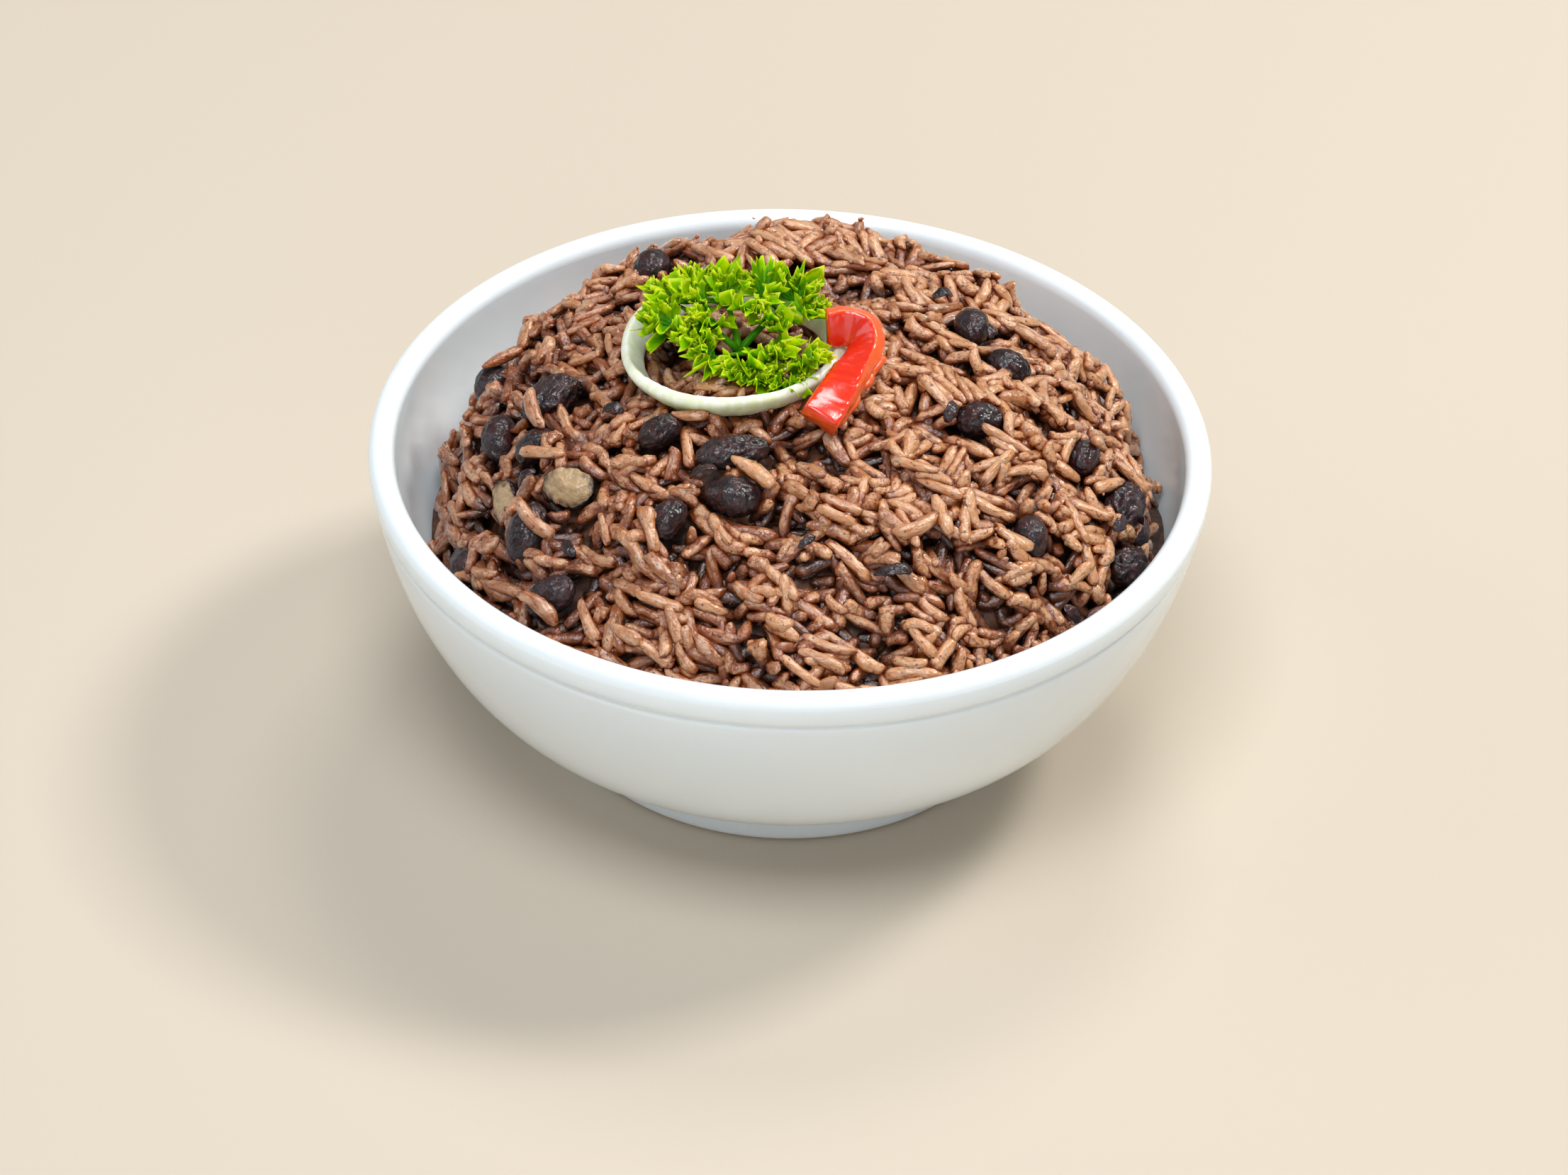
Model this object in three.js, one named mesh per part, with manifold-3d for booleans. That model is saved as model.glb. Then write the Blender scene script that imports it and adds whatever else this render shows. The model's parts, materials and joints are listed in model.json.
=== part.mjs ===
// A white glazed bowl heaped with rice and black beans, garnished with curly
// parsley, a ring of onion and a curled strip of red pepper.
// Millimetres, +Z up. The origin is the middle of the foot ring's underside,
// and the garnish's pepper strip lies to +X, the low front of the heap to -Y.

import * as THREE from 'three';
import { mergeVertices } from 'three/addons/utils/BufferGeometryUtils.js';
import Module from 'manifold-3d';

const wasm = await Module();
wasm.setup();

// ---------------------------------------------------------------- bowl sizes
const RIM_RADIUS = 75;          // outside of the lip
const BOWL_HEIGHT = 58;
const LIP_RADIUS = 2.38;        // the lip is a full round of this radius
const BAND_HEIGHT = 6.2;        // plain collar under the lip
const BAND_STEP = 0.8;          // how far the collar stands out of the body
const BODY_CURL_RADIUS = 38;    // where the body's curve would close
const BODY_DEPTH = 41.8;
const FOOT_RADIUS = 42.4;
const FOOT_HEIGHT = 7.6;
const FOOT_WIDTH = 4.4;
const BASE_RECESS = 5;          // hollow inside the foot ring
const FLOOR_HEIGHT = 10;        // inside floor of the bowl
const UNDERSIDE_HEIGHT = 12.6;  // where the body's curve takes over from the foot
const BODY_STEPS = 6;
const LIP_STEPS = 5;
const HOLLOW_STEPS = 7;
const TURN_SIDES = 44;

// ---------------------------------------------------------------- heap sizes
const HEAP_TOP = BOWL_HEIGHT + 20;
// Where the rice meets the wall: [degrees from +X, depth below the rim].
const HEAP_EDGE = [
  [0, 15], [15, 18], [30, 19], [60, 15], [90, 14], [120, 17], [140, 20], [155, 21],
  [170, 21], [185, 23], [200, 21], [215, 12], [235, 7], [270, 6], [305, 6.5], [335, 10],
];
const CORE_DROP = 0.9;          // the core lies this far under the heap's surface
const CORE_LUMPS = 0.6;         // and up to this much further, unevenly
const CORE_SIDES = 30;
const WALL_GAP = 0.4;
const PIECE_GAP = 0.35;         // clearance kept between separate pieces
const GRAIN_LENGTH = 8.4;
const GRAIN_RADIUS = 1.65;
const GRAIN_SPREAD = 1.25;       // how much wider than a regular triangle its section is
const GRAIN_SIDES = 3;           // a ridge with two flanks shows, the third side is sunk
const GRAIN_SINK = 0.62;         // share of its radius that a grain's middle lies under the surface
const GRAIN_SPACING = 8.4;
const GRAIN_TRIES = 4000;
const SEED = 41;

// ---------------------------------------------------------------- small tools
function randomFrom(seed) {
  let state = seed >>> 0;
  return () => {
    state = (state + 0x6d2b79f5) >>> 0;
    let t = Math.imul(state ^ (state >>> 15), 1 | state);
    t = (t + Math.imul(t ^ (t >>> 7), 61 | t)) ^ t;
    return ((t ^ (t >>> 14)) >>> 0) / 4294967296;
  };
}

const radians = THREE.MathUtils.degToRad;
const vector = (x, y, z) => new THREE.Vector3(x, y, z);

function toSolid(geometry) {
  const bare = geometry.clone();
  bare.deleteAttribute('normal');
  bare.deleteAttribute('uv');
  const merged = mergeVertices(bare, 1e-4);
  return new wasm.Manifold(new wasm.Mesh({
    numProp: 3,
    vertProperties: new Float32Array(merged.attributes.position.array),
    triVerts: new Uint32Array(merged.index.array),
  }));
}

function toGeometry(solid) {
  const mesh = solid.getMesh();
  const geometry = new THREE.BufferGeometry();
  geometry.setAttribute('position', new THREE.BufferAttribute(mesh.vertProperties, 3));
  geometry.setIndex(new THREE.BufferAttribute(mesh.triVerts, 1));
  geometry.computeVertexNormals();
  return geometry;
}

function meshFromFaces(points, faces) {
  const geometry = new THREE.BufferGeometry();
  const flat = points.flatMap((p) => [p.x, p.y, p.z]);
  geometry.setAttribute('position', new THREE.Float32BufferAttribute(flat, 3));
  geometry.setIndex(faces.flat());
  geometry.computeVertexNormals();
  return geometry;
}

// Joins solids in pairs, so that no union grows large before it has to.
function joinAll(solids) {
  let row = solids;
  while (row.length > 1) {
    const next = [];
    for (let i = 0; i + 1 < row.length; i += 2) next.push(row[i].add(row[i + 1]));
    if (row.length % 2) next.push(row[row.length - 1]);
    row = next;
  }
  return row[0];
}

// A closed body through rings of equal length. An end is shut by a pole point.
function loft(rings, startPole, endPole) {
  const count = rings[0].length;
  const points = rings.flat();
  const faces = [];
  for (let r = 0; r + 1 < rings.length; r += 1) {
    for (let k = 0; k < count; k += 1) {
      const a = r * count + k;
      const b = r * count + ((k + 1) % count);
      faces.push([a, b, b + count], [a, b + count, a + count]);
    }
  }
  const start = points.push(startPole) - 1;
  const end = points.push(endPole) - 1;
  const last = (rings.length - 1) * count;
  for (let k = 0; k < count; k += 1) {
    const next = (k + 1) % count;
    faces.push([start, next, k], [end, last + k, last + next]);
  }
  return meshFromFaces(points, faces);
}

// ---------------------------------------------------------------- bowl
const LIP_CENTRE_RADIUS = RIM_RADIUS - LIP_RADIUS;
const LIP_HEIGHT = BOWL_HEIGHT - LIP_RADIUS;
const INNER_RADIUS = RIM_RADIUS - 2 * LIP_RADIUS;
const BAND_BOTTOM = BOWL_HEIGHT - BAND_HEIGHT;
const BODY_RADIUS = RIM_RADIUS - BAND_STEP;

function bodyRadius(z) {
  const down = (BAND_BOTTOM - z) / BODY_DEPTH;
  return BODY_CURL_RADIUS + (BODY_RADIUS - BODY_CURL_RADIUS) * (1 - down ** 1.36) ** (1 / 2.56);
}

function innerRadius(z) {
  const down = Math.min(1, Math.max(0, (LIP_HEIGHT - z) / (LIP_HEIGHT - FLOOR_HEIGHT)));
  return INNER_RADIUS * (1 - down * down) ** (1 / 3.3);
}

// The hollow's outline from the lip down to the floor, as [radius, height].
const HOLLOW = Array.from({ length: HOLLOW_STEPS }, (_, i) => {
  const turn = Math.PI / 2 * i / (HOLLOW_STEPS - 0.4);
  const z = FLOOR_HEIGHT + (LIP_HEIGHT - FLOOR_HEIGHT) * Math.cos(turn);
  return [innerRadius(z), z];
});
HOLLOW.push([0, FLOOR_HEIGHT]);

// Radius that is clear of the faceted hollow at a height, all the way round.
function clearRadius(z) {
  const i = Math.max(1, HOLLOW.findIndex(([, height]) => height <= z));
  const [[above, top], [below, bottom]] = [HOLLOW[i - 1], HOLLOW[i]];
  const share = Math.min(1, (z - bottom) / (top - bottom));
  return (below + (above - below) * share) * Math.cos(Math.PI / TURN_SIDES) - WALL_GAP;
}

function makeBowl() {
  const outline = [];
  const add = (r, z) => outline.push(new THREE.Vector2(r, z));
  const footInner = FOOT_RADIUS - FOOT_WIDTH;
  add(0, BASE_RECESS);
  add(footInner - 1.5, BASE_RECESS);
  add(footInner, BASE_RECESS - 1.5);
  add(footInner + 0.6, 0);
  add(FOOT_RADIUS - 0.6, 0);
  add(FOOT_RADIUS, 0.8);
  add(FOOT_RADIUS + 0.3, FOOT_HEIGHT - 1.5);
  add(FOOT_RADIUS + 1.5, FOOT_HEIGHT);
  for (let i = 0; i <= BODY_STEPS; i += 1) {
    const z = UNDERSIDE_HEIGHT + (BAND_BOTTOM - UNDERSIDE_HEIGHT) * (i / BODY_STEPS) ** 1.15;
    add(bodyRadius(z), z);
  }
  add(RIM_RADIUS - 0.25, BAND_BOTTOM + 0.5);
  for (let i = 0; i <= LIP_STEPS; i += 1) {
    const turn = Math.PI * i / LIP_STEPS;
    add(LIP_CENTRE_RADIUS + LIP_RADIUS * Math.cos(turn), LIP_HEIGHT + LIP_RADIUS * Math.sin(turn));
  }
  for (const [r, z] of HOLLOW.slice(1)) add(r, z);
  return new THREE.LatheGeometry(outline, TURN_SIDES).rotateX(Math.PI / 2);
}

// ---------------------------------------------------------------- heap form
function edgeDepth(angle) {
  const turn = THREE.MathUtils.euclideanModulo(THREE.MathUtils.radToDeg(angle), 360);
  let i = HEAP_EDGE.length - 1;
  while (HEAP_EDGE[i][0] > turn) i -= 1;
  const [from, depth] = HEAP_EDGE[i];
  const [to, nextDepth] = HEAP_EDGE[i + 1] ?? [360, HEAP_EDGE[0][1]];
  const t = (turn - from) / (to - from);
  return depth + (nextDepth - depth) * t * t * (3 - 2 * t);
}

function edgeHeight(angle) {
  return BOWL_HEIGHT - edgeDepth(angle);
}

function heapRadius(angle) {
  return clearRadius(edgeHeight(angle));
}

// Height of the heap's outer surface: a flat-topped dome, steep at the back
// and sides and gentler towards the front.
function heapHeight(x, y) {
  const angle = Math.atan2(y, x);
  const low = edgeHeight(angle);
  const out = Math.min(1, Math.hypot(x, y) / heapRadius(angle));
  const front = 0.5 - 0.5 * Math.sin(angle);
  return low + (HEAP_TOP - low) * (1 - out ** (4 - 1.2 * front)) ** (1 / (1.3 - 0.1 * front));
}

function heapNormal(x, y) {
  const step = 1.5;
  const dx = heapHeight(x + step, y) - heapHeight(x - step, y);
  const dy = heapHeight(x, y + step) - heapHeight(x, y - step);
  return vector(-dx / (2 * step), -dy / (2 * step), 1).normalize();
}

function makeCore() {
  const lumps = randomFrom(SEED + 1);
  const ring = (place) => Array.from(
    { length: CORE_SIDES },
    (_, k) => place(2 * Math.PI * k / CORE_SIDES),
  );
  const wallRing = (share) => ring((angle) => {
    const low = FLOOR_HEIGHT + 1;
    const z = low + (edgeHeight(angle) - CORE_DROP - low) * share;
    const r = clearRadius(z - WALL_GAP);
    return vector(r * Math.cos(angle), r * Math.sin(angle), z);
  });
  const topRing = (out) => ring((angle) => {
    const r = heapRadius(angle) * out;
    const x = r * Math.cos(angle);
    const y = r * Math.sin(angle);
    return vector(x, y, heapHeight(x, y) - CORE_DROP - CORE_LUMPS * lumps());
  });
  const rings = [0.12, 0.35, 0.65, 1].map(wallRing);
  rings.push(...[0.98, 0.94, 0.88, 0.8, 0.7, 0.56, 0.4, 0.2].map(topRing));
  const floor = vector(0, 0, FLOOR_HEIGHT + 1);
  const peak = vector(0, 0, HEAP_TOP - CORE_DROP);
  return loft(rings, floor, peak);
}

// ---------------------------------------------------------------- beans
// Each bean: place on the heap, its heading in degrees, and its full length,
// width and thickness. A split bean shows its flat inner face, tilted up.
const BEANS = [
  { x: -54.5, y: 16, turn: 70, size: [8.4, 7.2, 6.6] },
  { x: -43, y: -5, turn: 20, size: [11.4, 8.2, 7.2] },
  { x: -52, y: -5, turn: 75, size: [9, 7, 6.4] },
  { x: -45, y: -15, turn: 10, size: [8, 6.4, 5.6] },
  { x: -50.3, y: -21.5, turn: 80, size: [8, 6.2, 5.6], split: true },
  { x: -38.6, y: -29, turn: 150, size: [9.4, 7.4, 6.4], split: true },
  { x: -45.2, y: -35, turn: 60, size: [10.8, 8.4, 7.2] },
  { x: -26, y: 31, turn: 80, size: [8.2, 6.8, 6.2] },
  { x: -10, y: -28.6, turn: 12, size: [12.6, 6.6, 4.4] },
  { x: -9.6, y: -37.7, turn: 165, size: [10, 7.4, 6.6] },
  { x: -20.5, y: -41.5, turn: 60, size: [8, 6.2, 5.8] },
  { x: 32, y: 13, turn: 95, size: [8.6, 6.6, 6] },
  { x: 38.5, y: 2.8, turn: 160, size: [8.4, 6.6, 6] },
  { x: 33, y: -15, turn: 20, size: [8.6, 6.8, 6.2] },
  { x: 42.3, y: -36, turn: 110, size: [8, 6.4, 6] },
  { x: 59.5, y: -16.5, turn: 75, size: [10.6, 8.2, 6.8] },
  { x: 60, y: -28, turn: 40, size: [8.4, 6.6, 6] },
  { x: -56.5, y: -28.5, turn: 125, size: [8.4, 6.4, 5.8] },
  { x: -40.5, y: -48.5, turn: 20, size: [9.4, 6.6, 6] },
  { x: 52, y: -13, turn: 65, size: [7.8, 5.8, 5.4] },
  { x: -22.5, y: -22.5, turn: 30, size: [8.2, 6.2, 5.6] },
];
const BEAN_SIDES = 8;
const BEAN_BANDS = 5;
const BEAN_DENT = 0.16;         // hollow of the kidney's inner side, as a share of half its width
const SPLIT_LEVEL = 0.12;       // height of a split bean's flat face, as a share of its thickness
const BEAN_SINK = 0.16;         // share of a bean's thickness under the surface at its middle

function beanGeometry(bean, swell) {
  const shape = new THREE.SphereGeometry(1, BEAN_SIDES, BEAN_BANDS);
  shape.rotateX(Math.PI / 2);
  shape.rotateY(Math.PI / 2);
  const [length, width, thickness] = bean.size.map((s) => s / 2 + swell);
  const position = shape.attributes.position;
  for (let i = 0; i < position.count; i += 1) {
    const along = position.getX(i);
    const across = position.getY(i);
    const dent = BEAN_DENT * width * (1 - along * along) * Math.max(0, -across);
    position.setXYZ(i, length * along, width * across + dent, thickness * position.getZ(i));
  }
  return shape;
}

function beanPlace(bean) {
  const normal = heapNormal(bean.x, bean.y);
  const heading = vector(Math.cos(radians(bean.turn)), Math.sin(radians(bean.turn)), 0);
  const along = heading.addScaledVector(normal, -heading.dot(normal)).normalize();
  const across = normal.clone().cross(along);
  const centre = vector(bean.x, bean.y, heapHeight(bean.x, bean.y));
  centre.addScaledVector(normal, -BEAN_SINK * bean.size[2]);
  return new THREE.Matrix4().makeBasis(along, across, normal).setPosition(centre);
}

function beanSolid(bean, swell) {
  let solid = toSolid(beanGeometry(bean, swell));
  if (bean.split) {
    const knife = new THREE.BoxGeometry(40, 40, 20);
    knife.translate(0, 0, 10 + swell + SPLIT_LEVEL * bean.size[2]);
    solid = solid.subtract(toSolid(knife));
  }
  return toSolid(toGeometry(solid).applyMatrix4(beanPlace(bean)));
}

// ---------------------------------------------------------------- bands
// A strap with a soft-cornered section, swept along points with a width
// direction at each. Closed straps run round; open ones get flat-ended caps.
function strap(path, spreads, width, thickness, closed) {
  const count = path.length;
  const rings = path.map((point, i) => {
    const before = path[closed ? (i + count - 1) % count : Math.max(0, i - 1)];
    const after = path[closed ? (i + 1) % count : Math.min(count - 1, i + 1)];
    const tangent = after.clone().sub(before).normalize();
    const wide = spreads[i].clone();
    wide.addScaledVector(tangent, -wide.dot(tangent)).normalize();
    const thick = tangent.clone().cross(wide);
    const w = width / 2;
    const t = thickness / 2;
    const corner = (a, b) => point.clone().addScaledVector(wide, a * w).addScaledVector(thick, b * t);
    return [corner(1, 0), corner(0.8, 1), corner(-0.8, 1), corner(-1, 0), corner(-0.8, -1), corner(0.8, -1)];
  });
  if (!closed) return loft(rings, path[0].clone(), path[count - 1].clone());
  const sides = rings[0].length;
  const faces = [];
  for (let r = 0; r < count; r += 1) {
    for (let k = 0; k < sides; k += 1) {
      const a = r * sides + k;
      const b = r * sides + ((k + 1) % sides);
      const c = ((r + 1) % count) * sides + ((k + 1) % sides);
      const d = ((r + 1) % count) * sides + k;
      faces.push([a, b, c], [a, c, d]);
    }
  }
  return meshFromFaces(rings.flat(), faces);
}

// ---------------------------------------------------------------- onion ring
const RING_CENTRE = [-10.6, -2.6];
const RING_RADIUS = 17.4;       // to the middle of the band
const RING_FLARE = 34;          // degrees that the band leans outwards
const RING_WIDTH = 5.2;
const RING_THICKNESS = 1.9;
const RING_STEPS = 24;
const RING_SINK = 0.9;          // how deep its lower edge sits in the rice

function ringSolid(swell) {
  const path = [];
  const spreads = [];
  for (let i = 0; i < RING_STEPS; i += 1) {
    const angle = 2 * Math.PI * i / RING_STEPS;
    const radius = RING_RADIUS * (1 + 0.025 * Math.cos(2 * angle + 0.5) + 0.015 * Math.cos(3 * angle));
    const x = RING_CENTRE[0] + radius * Math.cos(angle);
    const y = RING_CENTRE[1] + radius * Math.sin(angle);
    const lean = radians(RING_FLARE + 8 * Math.cos(angle + Math.PI));
    const rise = RING_WIDTH / 2 * Math.cos(lean);
    path.push(vector(x, y, heapHeight(x, y) - RING_SINK + rise));
    spreads.push(vector(Math.sin(lean) * Math.cos(angle), Math.sin(lean) * Math.sin(angle), Math.cos(lean)));
  }
  return toSolid(strap(path, spreads, RING_WIDTH + 2 * swell, RING_THICKNESS + 2 * swell, true));
}

// ---------------------------------------------------------------- pepper strip
const PEPPER_WIDTH = 6.8;
const PEPPER_THICKNESS = 2.9;
const PEPPER_STEPS = 12;
// Middle line of the curl, as [x, y, height over the heap's top], and the
// direction across the strip at the same points.
const PEPPER_LINE = [
  [4.8, -24.2, 1.7], [7.4, -18.8, 2.7], [9.8, -13.9, 4.1], [12.3, -9.4, 5.7],
  [12.2, -5.9, 7.1], [9.4, -4.5, 7.7], [5.8, -5.1, 7.7],
];
const PEPPER_ACROSS = [
  [0.76, -0.5, -0.4], [0.84, -0.4, -0.1], [0.86, -0.2, 0.25], [0.78, 0.05, 0.6],
  [0.45, 0.3, 0.85], [0.1, 0.3, 0.95], [-0.05, 0.2, 0.98],
];

function pepperSolid(swell) {
  const line = new THREE.CatmullRomCurve3(
    PEPPER_LINE.map(([x, y, up]) => vector(x, y, HEAP_TOP + up)),
  );
  const across = new THREE.CatmullRomCurve3(PEPPER_ACROSS.map(([x, y, z]) => vector(x, y, z)));
  const path = [];
  const spreads = [];
  for (let i = 0; i <= PEPPER_STEPS; i += 1) {
    path.push(line.getPoint(i / PEPPER_STEPS));
    spreads.push(across.getPoint(i / PEPPER_STEPS));
  }
  return toSolid(strap(path, spreads, PEPPER_WIDTH + 2 * swell, PEPPER_THICKNESS + 2 * swell, false));
}

// ---------------------------------------------------------------- parsley
const LEAF_THICKNESS = 0.5;
const LEAF_POINTS = 10;          // five teeth and the notches between them
const LEAF_NOTCH = 0.26;
const STEM_RADIUS = 0.9;
const PETIOLE_RADIUS = 0.6;
const SPRIG_ROOT = [-9.4, -4.2, 1.6];
// Branches of the sprig: the fork they spread from, as [x, y, height over the
// heap's top], and their leaflets: [x, y, height, size, heading, upward tilt].
const BRANCHES = [
  { fork: [-17.2, -0.4, 5.0], leaves: [
    [-25.6, -3.0, 6.0, 5.8, 190, 6], [-24.4, 6.8, 6.8, 5.2, 150, 12], [-18.4, -6.4, 5.4, 4.8, 225, 4]] },
  { fork: [-11.6, 3.6, 6.2], leaves: [
    [-18.2, 11.4, 7.6, 5.4, 120, 20], [-12.2, 9.0, 8.6, 5.4, 100, 30], [-8.4, 0.2, 7.6, 5.4, 260, 4]] },
  { fork: [-2.6, 2.4, 6.4], leaves: [
    [-5.4, 10.0, 8.8, 5.6, 85, 26], [1.2, 9.2, 8.2, 5.4, 60, 22], [3.6, 2.4, 7.8, 4.2, 20, 14]] },
  { fork: [-6.4, -6.6, 2.6], leaves: [
    [-15.2, -9.4, 3.6, 5.2, 215, 0], [-8.8, -12.0, 3.0, 5.0, 260, 0], [-2.6, -8.6, 3.8, 5.0, 310, 4],
    [3.0, -11.6, 5.6, 4.0, 330, 8]] },
];

function leafletGeometry(size, phase) {
  const top = [vector(0, 0, 0)];
  for (let k = 0; k < LEAF_POINTS; k += 1) {
    const angle = 2 * Math.PI * k / LEAF_POINTS;
    const r = size * (1 - LEAF_NOTCH * (k % 2));
    const wave = 0.9 * Math.sin(3 * angle + phase) + 0.4 * Math.cos(5 * angle - phase);
    top.push(vector(r * Math.cos(angle), 0.86 * r * Math.sin(angle), wave + 0.1 * size));
  }
  const count = top.length;
  const bottom = top.map((p) => vector(p.x, p.y, p.z - LEAF_THICKNESS));
  const faces = [];
  for (let k = 0; k < LEAF_POINTS; k += 1) {
    const a = 1 + k;
    const b = 1 + ((k + 1) % LEAF_POINTS);
    faces.push([0, a, b], [count, count + b, count + a]);
    faces.push([a, count + a, count + b], [a, count + b, b]);
  }
  return meshFromFaces([...top, ...bottom], faces);
}

function stemGeometry(from, to, steps, radius) {
  const line = new THREE.QuadraticBezierCurve3(
    from, from.clone().lerp(to, 0.5).add(vector(0, 0, 0.8)), to,
  );
  const section = new THREE.Shape();
  const sides = 3;
  for (let k = 0; k <= sides; k += 1) {
    const angle = 2 * Math.PI * k / sides;
    const [x, y] = [radius * Math.cos(angle), radius * Math.sin(angle)];
    if (k === 0) section.moveTo(x, y);
    else section.lineTo(x, y);
  }
  return new THREE.ExtrudeGeometry(section, { steps, extrudePath: line, curveSegments: 1 });
}

function makeParsley() {
  const over = ([x, y, up]) => vector(x, y, HEAP_TOP + up);
  const parts = [];
  let count = 0;
  for (const branch of BRANCHES) {
    parts.push(toSolid(stemGeometry(over(SPRIG_ROOT), over(branch.fork), 3, STEM_RADIUS)));
    for (const [x, y, up, size, heading, tilt] of branch.leaves) {
      const leaflet = leafletGeometry(size, 1.7 * count);
      leaflet.rotateY(-radians(tilt));
      leaflet.rotateZ(radians(heading));
      leaflet.translate(x, y, HEAP_TOP + up);
      parts.push(toSolid(leaflet));
      parts.push(toSolid(stemGeometry(over(branch.fork), over([x, y, up]), 1, PETIOLE_RADIUS)));
      count += 1;
    }
  }
  return toGeometry(joinAll(parts));
}

// ---------------------------------------------------------------- rice
function grainGeometry(length, radius) {
  const half = length / 2;
  const ring = (x, share) => Array.from({ length: GRAIN_SIDES }, (_, k) => {
    const angle = Math.PI / 2 + 2 * Math.PI * k / GRAIN_SIDES;
    return vector(x, GRAIN_SPREAD * share * radius * Math.cos(angle), share * radius * Math.sin(angle));
  });
  return loft([ring(-0.62 * half, 0.82), ring(0.55 * half, 0.9)], vector(-half, 0, 0), vector(half, 0, 0));
}

// Whether a point comes within reach of a topping.
function nearBean(point, reach) {
  return BEANS.some((bean) => {
    const local = point.clone().applyMatrix4(beanPlace(bean).invert());
    const [a, b, c] = bean.size.map((s) => s / 2 + reach);
    return (local.x / a) ** 2 + (local.y / b) ** 2 + (local.z / c) ** 2 < 1;
  });
}

function nearRing(point, reach) {
  const out = Math.hypot(point.x - RING_CENTRE[0], point.y - RING_CENTRE[1]);
  return Math.abs(out - RING_RADIUS + 0.4) < RING_WIDTH / 2 + 0.4 + reach;
}

function nearPepper(point, reach) {
  const low = PEPPER_LINE.slice(0, 4);
  const halfSection = Math.hypot(PEPPER_WIDTH, PEPPER_THICKNESS) / 2 + 0.8;
  return low.some(([x, y, up]) => (
    point.distanceTo(vector(x, y, HEAP_TOP + up)) < halfSection + reach));
}

function grainFits(points, radius) {
  return points.every((point) => {
    const out = Math.hypot(point.x, point.y);
    if (out + radius > clearRadius(point.z - radius)) return false;
    const reach = radius + PIECE_GAP;
    return !nearBean(point, reach) && !nearRing(point, reach) && !nearPepper(point, reach);
  });
}

// Grains laid on the core by a seeded draw. One that would cross a topping or
// the wall is shortened or skipped, and so is one that the core doesn't hold.
function makeGrains(core) {
  const draw = randomFrom(SEED);
  const placed = [];
  const grains = [];
  for (let tries = 0; tries < GRAIN_TRIES; tries += 1) {
    const angle = 2 * Math.PI * draw();
    const out = heapRadius(angle) * Math.sqrt(draw());
    const [x, y] = [out * Math.cos(angle), out * Math.sin(angle)];
    const turn = 2 * Math.PI * draw();
    const pitch = 0.5 * (draw() - 0.5);
    const radius = GRAIN_RADIUS * (0.9 + 0.25 * draw());
    let length = GRAIN_LENGTH * (0.8 + 0.4 * draw());
    const lift = 0.35 * (draw() - 0.5);
    const normal = heapNormal(x, y);
    const centre = vector(x, y, heapHeight(x, y)).addScaledVector(normal, lift - GRAIN_SINK * radius);
    if (placed.some((other) => other.distanceTo(centre) < GRAIN_SPACING)) continue;
    const heading = vector(Math.cos(turn), Math.sin(turn), 0);
    const along = heading.addScaledVector(normal, -heading.dot(normal)).normalize();
    along.addScaledVector(normal, Math.sin(pitch)).normalize();
    const across = normal.clone().cross(along).normalize();
    const up = along.clone().cross(across);
    const sample = (size) => [-0.5, -0.25, 0, 0.25, 0.5].map((s) => (
      centre.clone().addScaledVector(along, s * (size - 2 * radius * 0.7))));
    if (!grainFits(sample(length), radius)) length *= 0.72;
    if (!grainFits(sample(length), radius)) continue;
    const shape = grainGeometry(length, radius);
    shape.applyMatrix4(new THREE.Matrix4().makeBasis(along, across, up).setPosition(centre));
    const grain = toSolid(shape);
    if (core.intersect(grain).isEmpty()) continue;
    placed.push(centre);
    grains.push(grain);
  }
  return grains;
}

function makeHeap() {
  let core = toSolid(makeCore());
  core = core.subtract(joinAll(BEANS.map((bean) => beanSolid({ ...bean, split: false }, PIECE_GAP))));
  core = core.subtract(ringSolid(PIECE_GAP)).subtract(pepperSolid(PIECE_GAP));
  return toGeometry(core.add(joinAll(makeGrains(core))));
}

// ---------------------------------------------------------------- the part
const finishes = {
  glaze: { color: '#eef1f0', roughness: 0.15, metalness: 0 },
  rice: { color: '#a97c5f', roughness: 0.4, metalness: 0 },
  bean: { color: '#2a2124', roughness: 0.35, metalness: 0 },
  splitBean: { color: '#8a6b4c', roughness: 0.5, metalness: 0 },
  onion: { color: '#d6dcc4', roughness: 0.35, metalness: 0 },
  pepper: { color: '#e2330f', roughness: 0.25, metalness: 0 },
  parsley: { color: '#76a814', roughness: 0.55, metalness: 0 },
};

const part = new THREE.Group();
part.name = 'rice_and_beans_bowl';

function addPiece(name, geometry, finish) {
  const mesh = new THREE.Mesh(geometry, new THREE.MeshStandardMaterial(finishes[finish]));
  mesh.name = name;
  part.add(mesh);
}

addPiece('bowl', makeBowl(), 'glaze');
addPiece('rice_heap', makeHeap(), 'rice');
BEANS.forEach((bean, i) => {
  const name = `bean_${String(i + 1).padStart(2, '0')}`;
  addPiece(name, toGeometry(beanSolid(bean, 0)), bean.split ? 'splitBean' : 'bean');
});
addPiece('onion_ring', toGeometry(ringSolid(0)), 'onion');
addPiece('pepper_strip', toGeometry(pepperSolid(0)), 'pepper');
addPiece('parsley', makeParsley(), 'parsley');

export default part;
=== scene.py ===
"""Dresses a white glazed bowl heaped with rice and black beans, garnished with curly
parsley, an onion ring and a curled strip of red pepper.

Shapes are worked out in millimetres and written to meshes in metres. +Z is up,
the origin is the middle of the foot ring's underside, and -Y is the front."""

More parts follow.
